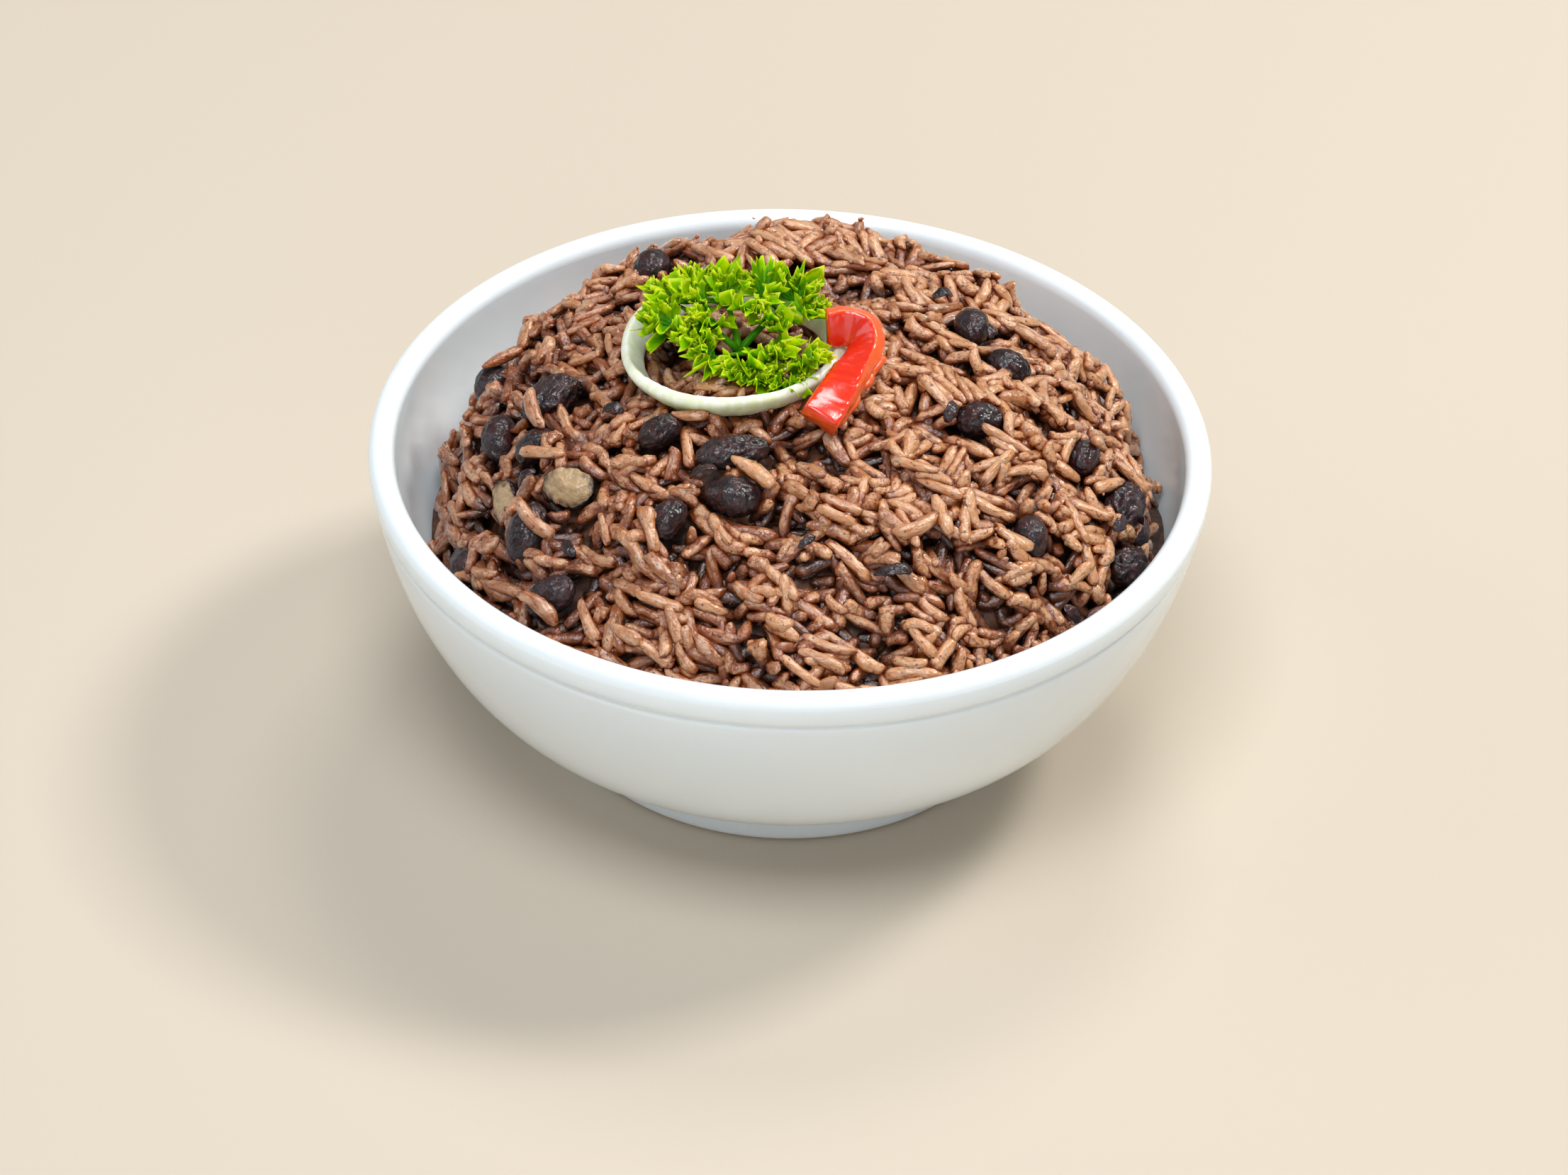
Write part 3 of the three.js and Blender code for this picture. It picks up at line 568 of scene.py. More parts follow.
# ------------------------------------------------------------------ scattering
def scatter_tree():
    """Geometry nodes that put one of several shapes on each point, turned and sized by the
    point's attributes, join them and raise uneven lumps on them."""
    tree = bpy.data.node_groups.new("Scatter shapes", "GeometryNodeTree")
    sockets = [
        ("Places", "NodeSocketGeometry", None), ("Shapes", "NodeSocketCollection", None),
        ("Lump Size", "NodeSocketFloat", 1.5 * MM), ("Lump Height", "NodeSocketFloat", 0.2 * MM),
        ("Seed", "NodeSocketFloat", 0.0), ("Finish", "NodeSocketMaterial", None),
    ]
    for name, kind, default in sockets:
        socket = tree.interface.new_socket(name, in_out="INPUT", socket_type=kind)
        if default is not None:
            socket.default_value = default
    tree.interface.new_socket("Result", in_out="OUTPUT", socket_type="NodeSocketGeometry")
    given = add(tree, "NodeGroupInput").outputs
    shapes = add(tree, "GeometryNodeCollectionInfo", {
        "Collection": given["Shapes"], "Separate Children": True, "Reset Children": True})
    kind = add(tree, "GeometryNodeInputNamedAttribute", {"Name": "kind"}, data_type="INT")
    turn = add(tree, "GeometryNodeInputNamedAttribute", {"Name": "turn"}, data_type="QUATERNION")
    size = add(tree, "GeometryNodeInputNamedAttribute", {"Name": "size"}, data_type="FLOAT_VECTOR")
    laid = add(tree, "GeometryNodeInstanceOnPoints", {
        "Points": given["Places"], "Instance": shapes, "Pick Instance": True,
        "Instance Index": kind.outputs["Attribute"], "Rotation": turn.outputs["Attribute"],
        "Scale": size.outputs["Attribute"]})
    joined = add(tree, "GeometryNodeRealizeInstances", {0: laid})
    where = add(tree, "GeometryNodeInputPosition")
    scale = add(tree, "ShaderNodeMath", {0: 1.0, 1: given["Lump Size"]}, operation="DIVIDE")
    lump = add(tree, "ShaderNodeTexNoise", {
        "Vector": where, "W": given["Seed"], "Scale": scale, "Detail": 1.0}, noise_dimensions="4D")
    level = add(tree, "ShaderNodeMath", {0: lump, 1: 0.5}, operation="SUBTRACT")
    rise = add(tree, "ShaderNodeMath", {0: level, 1: given["Lump Height"]}, operation="MULTIPLY")
    doubled = add(tree, "ShaderNodeMath", {0: rise, 1: 2.0}, operation="MULTIPLY")
    out = add(tree, "GeometryNodeInputNormal")
    offset = add(tree, "ShaderNodeVectorMath", {0: out, "Scale": doubled}, operation="SCALE")
    moved = add(tree, "GeometryNodeSetPosition", {"Geometry": joined, "Offset": offset})
    for spent in ("kind", "turn", "size"):
        moved = add(tree, "GeometryNodeRemoveAttribute", {"Geometry": moved, "Name": spent})
    smooth = add(tree, "GeometryNodeSetShadeSmooth", {0: moved})
    done = add(tree, "GeometryNodeSetMaterial", {"Geometry": smooth, "Material": given["Finish"]})
    add(tree, "NodeGroupOutput", {0: done})
    return tree


def scatter(name, places, shapes, tree, values):
    """Runs the scatter tree over places, a dict of arrays, and keeps the result as a plain mesh.
    Each place has its centre in mm, its axes as rows along, across and up, its size, the kind
    of shape it takes, and its tint and stain where those are given."""
    marks = {key: places[key] for key in ("tint", "stain_and_shade") if key in places}
    mesh = new_mesh(name, places["centre"], [], marks)
    turns = [Matrix(a.T.tolist()).to_quaternion() for a in places["axes"]]
    layer = mesh.attributes.new("turn", "QUATERNION", "POINT")
    layer.data.foreach_set("value", np.array([tuple(q) for q in turns], np.float32).ravel())
    layer = mesh.attributes.new("size", "FLOAT_VECTOR", "POINT")
    layer.data.foreach_set("vector", np.asarray(places["size"], np.float32).ravel())
    layer = mesh.attributes.new("kind", "INT", "POINT")
    layer.data.foreach_set("value", np.asarray(places["kind"], np.int32))
    piece = new_piece(name, mesh)
    modifier = piece.modifiers.new("Scatter", "NODES")
    modifier.node_group = tree
    for key, value in {"Shapes": shapes, **values}.items():
        modifier[tree.interface.items_tree[key].identifier] = value
    graph = bpy.context.evaluated_depsgraph_get()
    done = bpy.data.meshes.new_from_object(
        piece.evaluated_get(graph), preserve_all_data_layers=True, depsgraph=graph)
    piece.modifiers.clear()
    piece.data = done
    done.name = name
    bpy.data.meshes.remove(mesh)
    return piece


def shape_collection(name, meshes):
    """A collection of shapes for the scatter tree to pick from, out of the scene."""
    shapes = bpy.data.collections.new(name)
    for i, mesh in enumerate(meshes):
        shapes.objects.link(bpy.data.objects.new(f"{name}_{i:02d}", mesh))
    return shapes


def drop_collection(shapes):
    """Removes a shape collection and what is in it."""
    for item in list(shapes.objects):
        mesh = item.data
        bpy.data.objects.remove(item)
        bpy.data.meshes.remove(mesh)
    bpy.data.collections.remove(shapes)


# ------------------------------------------------------------------ rice
SHAPE_LENGTH = 8.0      # a base grain's size before it is scaled, mm
SHAPE_WIDTH = 2.6
CELL = 0.4              # spacing of the height map that the grains settle on, mm
MAP_HALF = 71.2
STICK = 0.7             # how far grains press into those below them, mm
BINS = 8                # stations along a grain at which it is held up
NOWHERE = -99.0         # a height that stands for nothing there, mm
LOWEST = -5.5           # how far the top of the rice may lie under the heap's surface, and
HIGHEST = 2.2           # how far over it, mm
HEAPED = 1.1            # how far over it the rice may always reach against a bean, mm
STEEPEST = 0.95         # slope at which a grain may still rest
FEWEST_CELLS = 8        # cells that a grain has to cover to rest anywhere
ROUNDED = 0.86          # thickness of a grain as a share of its width
ALLOWED_RISE = 0.15     # how far a settled grain may pass its limit, mm
SHORT_SHARE = 0.14      # share of grains that are broken short
ALIGNED_SHARE = 0.6     # share of grains that lie as their neighbours do
WALL_SPACE = 1.2        # room that a standing grain leaves to the wall, mm
FILL_ROUNDS = 520       # rounds of settling, each with its batch of grains
FILL_BATCH = 30
STANDING_GRAINS = 120
PLACED_RISE = 9.0       # how far a grain laid at a chosen place may rise over the heap, mm
LEANING_RISE = 2.6      # the same for one drawn at random against a bean
BEAN_REACH = 8.0        # a placed grain nearer than this crosses the bean, mm
SUNK_COVER = 2.0        # cover over a grain from which a plainer shape will do, mm
BURST_SHARE = 0.16
CLEAN_STAIN = 0.37      # stain under which a grain counts as clean

# Sorts of grains: the piece, the first seed of its shapes and how many there are, the
# facets round them, the stations along them, and whether they are burst.
GRAIN_SORTS = (
    ("rice_clean", 100, 16, 8, 7, False), ("rice_stained", 100, 16, 8, 7, False),
    ("rice_burst", 200, 10, 8, 7, True), ("rice_sunk", 300, 4, 6, 5, False),
)
CRUMB_SHAPES = 8


def grain_mesh(name, seed, sides, stations, burst):
    """One cooked long grain along X: nearly even in girth, tapering to blunt ends, a little
    bent, with ridges along it. A burst one is spread and ragged at one end."""
    draw = np.random.default_rng(seed)
    s = np.sin(np.linspace(-np.pi / 2, np.pi / 2, stations + 2)[1:-1] * 0.97)
    girth = (1 - np.abs(s) ** draw.uniform(3.2, 6.0)) ** draw.uniform(0.42, 0.6)
    girth = girth * (1 + draw.uniform(-0.2, 0.2) * s) * draw.uniform(0.9, 1.08, stations)
    girth = np.maximum(girth, 0.28)
    if burst:
        girth *= 1 + draw.uniform(0.25, 0.6) * np.clip(s - 0.1, 0, 1)
    bend, lean, twist = draw.uniform(-1.1, 1.1), draw.uniform(-0.4, 0.4), draw.uniform(-0.7, 0.7)
    flat = draw.uniform(0.74, 0.95)
    ridges = draw.uniform(0.82, 1.12, sides)
    turn = round_turns(sides)
    rings = []
    for x, g in zip(s, girth):
        a = turn + twist * x
        r = g * SHAPE_WIDTH / 2 * ridges * draw.uniform(0.94, 1.05, sides)
        if burst and x > 0.5:
            r *= draw.uniform(0.6, 1.3, sides)
        y = r * np.cos(a) + bend * (x * x - 0.4)
        z = r * np.sin(a) * flat + lean * (x * x - 0.4)
        slant = 0.25 * x * abs(x) * np.cos(a + seed)
        rings.append(np.column_stack([x * SHAPE_LENGTH / 2 + slant, y, z]))
    tip = SHAPE_LENGTH / 2 - 0.1
    torn = tip - 0.9 if burst else tip
    ends = [np.array([[x, ring[:, 1].mean(), ring[:, 2].mean()]])
            for x, ring in ((-tip, rings[0]), (torn, rings[-1]))]
    points, faces = tube(rings, *ends)
    return new_mesh(name, points, faces, {"place": points})


def crumb_mesh(name, seed):
    """A crumb of broken rice, 1 mm across."""
    draw = np.random.default_rng(seed)
    sides = 5
    turn = round_turns(sides)
    rings = []
    for x, r in ((-0.4, 0.3), (0.0, 0.48), (0.4, 0.28)):
        r = r * draw.uniform(0.6, 1.3, sides)
        x = x + draw.uniform(-0.1, 0.1, sides)
        rings.append(np.column_stack([x, r * np.cos(turn), 0.7 * r * np.sin(turn)]))
    points, faces = tube(rings, np.array([[-0.55, 0.0, 0.0]]), np.array([[0.55, 0.0, 0.0]]))
    return new_mesh(name, points, faces, {"place": points * 2})


class RicePacking:
    """Settles grains one by one on a height map that follows the heap, each at rest on what
    lies under it. Heights are measured out from the heap's surface along its normal."""

    def __init__(self, depth, seed):
        axis = np.arange(-MAP_HALF, MAP_HALF + CELL / 2, CELL)
        self.axis = axis
        x, y = np.meshgrid(axis, axis, indexing="ij")
        angle, out = np.arctan2(y, x), np.hypot(x, y)
        self.normal = heap_normal(x, y)
        self.point = np.stack([x, y, heap_height(x, y)], -1)
        self.slope = np.clip(self.normal[..., 2], 0.28, 1)
        self.inside = out < heap_radius(angle) - 0.2
        # The uneven core that the grains settle on, and how high they may heap up over it:
        # swells about 17 mm wide with knots of 7.5 mm on them.
        self.height = -depth + 1.1 * waves(self.point, 6.0, seed + 1)
        swells = 2.4 * waves(self.point, 17.0, seed + 2)
        knots = 2.1 * waves(self.point, 7.5, seed + 3)
        self.limit = np.clip(-0.6 + (swells + knots), LOWEST, HIGHEST)
        for cx, cy, radius, rise in CLUMPS:
            self.limit += rise * np.exp(-((x - cx) ** 2 + (y - cy) ** 2) / radius ** 2)
        # Headings that neighbours share, and how far each cell is still worth trying.
        self.lay_of_clumps = 3.5 * waves(self.point, 24.0, seed + 4)
        self.fresh = np.ones_like(x)
        self.draw = np.random.default_rng(seed)
        self.grains = []

    def cap(self, mask, level):
        """Keeps the grains under a level where mask is true."""
        self.limit[mask] = np.minimum(self.limit, level)[mask]

    def block_ellipsoid(self, axes, centre, half, rise):
        """Raises the map over an ellipsoid, so that grains lie against it and not through it.
        rise is how far round it the grains may heap up."""
        local = (self.point - centre) @ axes.T / half
        aim = self.normal @ axes.T / half
        a, b, c = (aim * aim).sum(-1), (aim * local).sum(-1), (local * local).sum(-1) - 1
        root = b * b - a * c
        hit = root > 0
        top = np.where(hit, (-b + np.sqrt(np.maximum(root, 0))) / a, NOWHERE)
        self.height = np.where(hit, np.maximum(self.height, top), self.height)
        self.fresh[hit & (top > -1)] = 0
        near = b * b / a - c > -rise
        self.limit[near] = np.maximum(self.limit[near], HEAPED)

    def window(self, x, y, reach):
        """The map's rows and columns within reach of a place, and the place's own cell."""
        i, j = (np.clip((np.array([x, y]) + MAP_HALF) / CELL, 0, len(self.axis) - 1)).astype(int)
        n = int(reach / CELL) + 1
        return slice(max(0, i - n), i + n + 1), slice(max(0, j - n), j + n + 1), (i, j)

    def rest(self, x, y, turn, length, width, cock=0.0, sink=0.3):
        """How a grain comes to rest at a place and heading, or None where it can't. cock is how
        much steeper than its support it stands, sink how deep it is pressed in."""
        rows, columns, spot = self.window(x, y, length / 2 + 1)
        up, base = self.normal[spot], self.point[spot]
        heading = np.array([math.cos(turn), math.sin(turn), 0])
        along = unit(heading - (heading @ up) * up)
        across = np.cross(up, along)
        normal, old = self.normal[rows, columns], self.height[rows, columns]
        reach = self.point[rows, columns] + old[..., None] * normal - base
        t, q, h = reach @ along, reach @ across, reach @ up
        taper = np.sqrt(np.clip(1 - np.abs(2 * t / length) ** 2.4, 0, 1))
        half = np.clip((width / 2 * taper) ** 2 - q * q, 0, None)
        under = half > 0
        if under.sum() < FEWEST_CELLS:
            return None
        round_off = np.sqrt(half[under]) * ROUNDED
        need = h[under] + round_off - sink
        bins = np.clip(((t[under] / length + 0.5) * BINS).astype(int), 0, BINS - 1)
        held = np.full(BINS, NOWHERE)
        np.maximum.at(held, bins, need)
        touched = held > NOWHERE
        at = ((np.arange(BINS) + 0.5) / BINS - 0.5) * length
        left, right = np.flatnonzero((at < 0) & touched), np.flatnonzero((at > 0) & touched)
        if not len(left) or not len(right):
            return None
        # It rests on the two stations, one each side, that hold its middle highest.
        a, b = np.meshgrid(left, right, indexing="ij")
        middle = (held[a] * at[b] - held[b] * at[a]) / (at[b] - at[a])
        k = np.unravel_index(np.argmax(middle), middle.shape)
        pitch = (held[b[k]] - held[a[k]]) / (at[b[k]] - at[a[k]]) + cock
        pitch = float(np.clip(pitch, -STEEPEST, STEEPEST))
        level = float((held - pitch * at)[touched].max()) - 0.22 * abs(cock) * length
        top = level + pitch * t[under] + round_off
        new = old[under] + (top - h[under]) / np.clip(normal[under] @ up, 0.35, 1)
        over = float((new - self.limit[rows, columns][under]).max())
        axis = unit(along + pitch * up)
        centre = base + level * up
        for sign in (-1, 1):
            tip = centre + sign * (length / 2 - 0.6) * axis
            if np.hypot(tip[0], tip[1]) + 0.5 > inner_radius(tip[2]) - 0.1:
                return None
        if np.hypot(centre[0], centre[1]) + width / 2 > inner_radius(centre[2]) - 0.05:
            return None
        return {"over": over, "rows": rows, "columns": columns, "under": under, "new": new, "spot": spot,
                "centre": centre, "axis": axis, "across": across, "length": length, "width": width}

    def lay(self, rest):
        """Adds a settled grain to the heap and to the map, a little low, as wet grains stick
        and press into each other."""
        block = self.height[rest["rows"], rest["columns"]]
        block[rest["under"]] = np.maximum(block[rest["under"]], rest["new"] - STICK)
        rest["top"] = float(rest["new"].max())
        self.grains.append(rest)

    def fill(self, rounds, batch, length, width):
        """Draws places where the rice is still low and settles grains there."""
        draw = self.draw
        for _ in range(rounds):
            lack = np.clip(self.limit - self.height - 1.5, 0, 5) * self.inside
            chance = (lack ** 1.5 * self.fresh / self.slope).ravel()
            if chance.sum() <= 0:
                break
            picks = np.searchsorted(np.cumsum(chance) / chance.sum(), draw.random(batch))
            for pick in picks:
                i, j = np.unravel_index(min(pick, chance.size - 1), lack.shape)
                x, y = self.axis[i], self.axis[j]
                size = length * draw.uniform(0.74, 1.2) * (1 - 0.08 * np.clip(-x / 50, 0, 1))
                girth = width * draw.uniform(0.82, 1.14)
                if draw.random() < SHORT_SHARE:
                    size *= draw.uniform(0.5, 0.75)
                aligned = self.lay_of_clumps[i, j] + draw.normal(0, 0.45)
                turns = (aligned if draw.random() < ALIGNED_SHARE else draw.uniform(0, np.pi),
                         draw.uniform(0, np.pi))
                tries = [self.rest(x, y, a, size, girth, draw.normal(0, 0.22), draw.uniform(0.3, 0.75))
                         for a in turns]
                tries = [t for t in tries if t is not None]
                best = min(tries, key=lambda t: t["over"], default=None)
                if best is not None and best["over"] <= ALLOWED_RISE:
                    self.lay(best)
                else:
                    self.fresh[max(0, i - 1):i + 2, max(0, j - 1):j + 2] *= 0.6

    def drop(self, x, y, turn, length, width, over):
        """Lays a grain at a chosen place, even if it rises over the heap by as much as over."""
        rest = self.rest(x, y, turn, length, width)
        if rest is not None and rest["over"] <= over:
            self.lay(rest)

    def cavity(self, points):
        """How deep points lie under a sheet drawn over the finished grains, in mm."""
        # The sheet is the height map, widened by three cells and then smoothed over three.
        surface = self.height
        for pick, times in ((np.maximum.reduce, 3), (lambda stack: sum(stack) / 9, 3)):
            for _ in range(times):
                padded = np.pad(surface, 1, mode="edge")
                surface = pick([padded[a:a + surface.shape[0], b:b + surface.shape[1]]
                                for a in range(3) for b in range(3)])
        base, off = points, np.zeros(len(points))
        for _ in range(3):
            spot = np.clip(np.rint((base[:, :2] + MAP_HALF) / CELL).astype(int), 0, len(self.axis) - 1)
            i, j = spot.T
            off = ((points - self.point[i, j]) * self.normal[i, j]).sum(-1)
            base = points - off[:, None] * self.normal[i, j]
        return 0.65 * (surface[i, j] - off) + 0.35 * (1.4 - off)

    def stand(self, count, length, width):
        """Adds grains that stick out of the heap end first, where it is still low."""
        draw = self.draw
        lack = np.clip(self.limit - self.height - 1.0, 0, 4) * self.inside
        chance = (lack ** 2 * (self.fresh > 0) / self.slope).ravel()
        picks = np.searchsorted(np.cumsum(chance) / chance.sum(), draw.random(count))
        for pick in picks:
            i, j = np.unravel_index(min(pick, chance.size - 1), lack.shape)
            up, base = self.normal[i, j], self.point[i, j]
            side = unit(np.cross(up, draw.normal(size=3)))
            axis = unit(up + draw.uniform(0.2, 1.1) * side)
            size = length * draw.uniform(0.7, 1.0)
            girth = width * draw.uniform(0.9, 1.1)
            top = min(self.limit[i, j] + 0.4, self.height[i, j] + size * 0.6)
            centre = base + up * (top - 0.5 * size * (axis @ up))
            tips = [centre + s * size / 2 * axis for s in (-1, 1)]
            if any(np.hypot(p[0], p[1]) + WALL_SPACE > inner_radius(p[2]) for p in tips):
                continue
            self.grains.append({"centre": centre, "axis": axis, "across": unit(np.cross(up, axis)),
                                "length": size, "width": girth, "spot": (i, j), "top": top})
            block = self.height[max(0, i - 2):i + 3, max(0, j - 2):j + 3]
            np.maximum(block, top, out=block)


def bean_axes(bean):
    """Rows along, across and up, and the centre, of a bean on the heap."""
    sink = (BEAN_SINK + SPLIT_SINK * bean.split) * bean.size[2]
    along, across, up, centre = lie_at(bean.x, bean.y, math.radians(bean.heading), -sink)
    if bean.split:
        up = unit(up + [0, -SPLIT_LEAN, 0])
        along = unit(along - (along @ up) * up)
        across = np.cross(up, along)
    return np.array([along, across, up]), centre


def set_aside_garnish(packing):
    """Keeps the grains out of the beans, and low under the onion ring and the pepper."""
    for bean in BEANS:
        rise = 0.0 if bean.split else 0.6
        packing.block_ellipsoid(*bean_axes(bean), np.array(bean.size) / 2, rise)
    x, y, z = np.moveaxis(packing.point, -1, 0)
    out = np.hypot(x - RING_CENTRE[0], y - RING_CENTRE[1])
    lean = math.radians(RING_FLARE)
    foot = RING_RADIUS - RING_WIDTH / 2 * math.sin(lean)
    under = -RING_SINK - 0.1 + np.clip(out - foot, 0, 9) / math.tan(lean)
    packing.cap(np.abs(out - foot - 0.7) < 1.9, under)
    for px, py, up in PEPPER_LINE[:4]:
        packing.cap(np.hypot(x - px, y - py) < 4.2, HEAP_TOP + up - 2.4 - z)


def rice_material(settings):
    """Boiled long-grain rice, wet with bean broth: a soft translucent body with a wet shine,
    whiter streaks inside, broth stains, and painted shade in broth browns where grains meet and deep down."""
    material, tree = new_material("Boiled long-grain rice in bean broth")
    place = add(tree, "ShaderNodeAttribute", attribute_name="place").outputs["Vector"]
    tint, stained, deep = (add(tree, "ShaderNodeAttribute", attribute_name=name).outputs["Fac"]
                           for name in ("tint", "stain_and_shade", "deep"))
    # Each grain reads its patterns, sized in mm, at a place of its own.
    spread = add(tree, "ShaderNodeMath", {0: tint, 1: 97.0}, operation="MULTIPLY")
    own = add(tree, "ShaderNodeVectorMath", {0: place, 1: spread})
    streaks = add(tree, "ShaderNodeVectorMath", {0: own, 1: (0.5, 1.0, 1.0)}, operation="MULTIPLY")
    milk = add(tree, "ShaderNodeTexNoise", {"Vector": streaks, "Scale": 0.9, "Detail": 3.0})
    milky = add(tree, "ShaderNodeMapRange", {0: milk, 1: 0.44, 2: 0.62, 4: 0.6})
    # Painted shade where grains meet, read from ambient occlusion and tinted like the broth that gathers
    # there: an amber film, a darker crease, then a nearly black gap.
    nook = add(tree, "ShaderNodeAmbientOcclusion", {"Distance": 1.8 * MM}, samples=4).outputs["AO"]
    film_shade = add(tree, "ShaderNodeMapRange", {0: nook, 1: 0.94, 2: 0.45, 4: 0.9})
    crease_shade = add(tree, "ShaderNodeMapRange", {0: nook, 1: 0.9, 2: 0.4, 4: 0.2})
    shut = add(tree, "ShaderNodeMapRange", {0: nook, 1: 0.24, 2: 0.04, 4: 0.6})
    # Painted shade: grains that lie deep among the others go nearly black.
    sunk = add(tree, "ShaderNodeMapRange", {0: deep, 1: 1.5, 2: 3.6, 4: 0.95})
    gap_shade = add(tree, "ShaderNodeMath", {0: sunk, 1: shut}, operation="MAXIMUM")
    # Rust-brown blots, more of them near the tips, with painted shade adding more deep down and in the
    # creases.
    along = add(tree, "ShaderNodeSeparateXYZ", {0: place}).outputs["X"]
    far = add(tree, "ShaderNodeMath", {0: along}, operation="ABSOLUTE")
    tip = add(tree, "ShaderNodeMapRange", {0: far, 1: 2.6, 2: 4.0, 4: 0.12})
    soaked = add(tree, "ShaderNodeMapRange", {0: deep, 1: 0.5, 2: 2.4, 3: -0.04, 4: 0.2})
    blot = add(tree, "ShaderNodeTexNoise", {"Vector": own, "Scale": 0.7, "Detail": 4.0, "Roughness": 0.65})
    spotting_and_shade = blot
    for more in (tip, soaked, crease_shade):
        spotting_and_shade = add(tree, "ShaderNodeMath", {0: spotting_and_shade, 1: more}, operation="ADD")
    rust_and_shade = add(tree, "ShaderNodeMapRange", {0: spotting_and_shade, 1: 0.54, 2: 0.7, 4: 0.95})
    crumb = add(tree, "ShaderNodeTexNoise", {"Vector": own, "Scale": 1.4, "Detail": 2.0, "Roughness": 0.6})
    speck = add(tree, "ShaderNodeMapRange", {0: crumb, 1: 0.62, 2: 0.68, 4: 0.8})
    # The stained share carries painted shade too: more of it on the heap's left, away from the light.
    tone = settings.pale
    for share, colour in (
            (stained, settings.stained), (milky, linear("#D9B28F")), (film_shade, linear("#B8631E")),
            (rust_and_shade, settings.rust_and_shade), (speck, linear("#4A1E0A")), (gap_shade, settings.broth)):
        tone = add(tree, "ShaderNodeMix", {0: share, 6: tone, 7: colour}, data_type="RGBA")
    rough = add(tree, "ShaderNodeMapRange", {0: blot, 1: 0.3, 2: 0.7, 3: 0.24, 4: 0.42})
    grooves = add(tree, "ShaderNodeVectorMath", {0: own, 1: (0.7, 1.2, 1.2)}, operation="MULTIPLY")
    pit = add(tree, "ShaderNodeTexNoise", {"Vector": grooves, "Scale": 1.2, "Detail": 1.2})
    bump = add(tree, "ShaderNodeBump", {"Strength": 1.0, "Distance": 0.4 * MM, "Height": pit})
    ripple = add(tree, "ShaderNodeTexNoise", {"Vector": own, "Scale": 2.4, "Detail": 1.5})
    wet = add(tree, "ShaderNodeBump", {"Strength": 1.0, "Distance": 0.2 * MM, "Height": ripple})
    shader = add(tree, "ShaderNodeBsdfPrincipled", {
        "Base Color": tone, "Roughness": rough, "IOR": 1.42, "Specular IOR Level": 0.55,
        "Subsurface Weight": 0.5, "Subsurface Radius": (1.0, 0.55, 0.3), "Subsurface Scale": 1.0 * MM,
        "Coat Weight": 1.0, "Coat Roughness": 0.06, "Coat IOR": 1.5, "Normal": bump, "Coat Normal": wet})
    add(tree, "ShaderNodeOutputMaterial", {"Surface": shader})
    return material


def mark_depth(mesh, packing):
    """Writes how deep each point of a mesh lies among the grains, in mm, which the rice material turns into
    painted shade.
    """
    points = np.empty(3 * len(mesh.vertices), np.float32)
    mesh.vertices.foreach_get("co", points)
    layer = mesh.attributes.new("deep", "FLOAT", "POINT")
    layer.data.foreach_set("value", packing.cavity(points.reshape(-1, 3) / MM).astype(np.float32))


def core_material():
    """Rice packed under the loose grains, seen only down the gaps: moist and lumpy, broth-brown darkened as
    painted shade.
    """
    material, tree = new_material("Packed rice in broth with painted shade")
    place = add(tree, "ShaderNodeTexCoord").outputs["Object"]
    lump = add(tree, "ShaderNodeTexVoronoi", {"Vector": place, "Scale": 1 / (2.8 * MM)})
    # Painted shade: both browns are far darker than the grains, darkest in the creases between the lumps.
    brown, dark = linear("#6B4129"), linear("#26130B")
    tone = add(tree, "ShaderNodeMix", {0: lump, 6: brown, 7: dark}, data_type="RGBA")
    bump = add(tree, "ShaderNodeBump", {"Strength": 0.9, "Distance": 1.0 * MM, "Height": lump}, invert=True)
    shader = add(tree, "ShaderNodeBsdfPrincipled", {"Base Color": tone, "Roughness": 0.5, "Normal": bump})
    add(tree, "ShaderNodeOutputMaterial", {"Surface": shader})
    return material


def settle_grains(settings):
    """Fills the heap with grains, then lays single ones over the beans and against them."""
    depth, length, width = (v / MM for v in (settings.depth, settings.length, settings.width))
    packing = RicePacking(depth, settings.seed)
    set_aside_garnish(packing)
    packing.fill(FILL_ROUNDS, FILL_BATCH, length, width)
    packing.stand(STANDING_GRAINS, length, width)
    for x, y, turn, long, wide in LOOSE_GRAINS:
        packing.drop(x, y, math.radians(turn), long, wide, PLACED_RISE)
    draw = packing.draw
    for bean in BEANS:
        if bean.split or any(math.dist(grain[:2], bean[:2]) < BEAN_REACH for grain in LOOSE_GRAINS):
            continue
        turn = draw.uniform(0, 2 * np.pi)
        reach = 0.55 * bean.size[1] * draw.uniform(0.75, 1.1)
        x, y = bean.x + reach * math.cos(turn), bean.y + reach * math.sin(turn)
        heading, size = draw.uniform(0, np.pi), length * draw.uniform(0.7, 1.05)
        packing.drop(x, y, heading, size, width, LEANING_RISE)
    return packing


def sort_grains(packing, seed, draw):
    """The settled grains as places for the scatter tree, and the number of each one's sort."""
    grains = packing.grains
    cover = np.array([packing.height[g["spot"]] for g in grains]) - np.array([g["top"] for g in grains])
    centre = np.array([g["centre"] for g in grains])
    lots = draw.random(len(grains))
    # The stain drifts at random, and grows towards the left as painted shade, on the side away from the
    # light.
    stain_and_shade = 0.34 - 0.009 * centre[:, 0] + 0.22 * waves(centre, 18.0, seed + 5)
    stain_and_shade = np.clip(stain_and_shade + draw.normal(0, 0.28, len(grains)), 0, 1)
    sort = np.where(lots < BURST_SHARE, 2, np.where(stain_and_shade < CLEAN_STAIN, 0, 1))
    sort = np.where(cover > SUNK_COVER, 3, sort)
    axes = []
    for g in grains:
        roll = 0.45 * math.sin(draw.uniform(0, 2 * np.pi))
        across = math.cos(roll) * g["across"] + math.sin(roll) * np.cross(g["axis"], g["across"])
        axes.append([g["axis"], across, np.cross(g["axis"], across)])
    size = np.array([(g["length"] / SHAPE_LENGTH, g["width"] / SHAPE_WIDTH, g["width"] / SHAPE_WIDTH)
                     for g in grains])
    return {"centre": centre, "axes": np.array(axes), "size": size, "tint": draw.random(len(grains)),
            "stain_and_shade": stain_and_shade}, sort


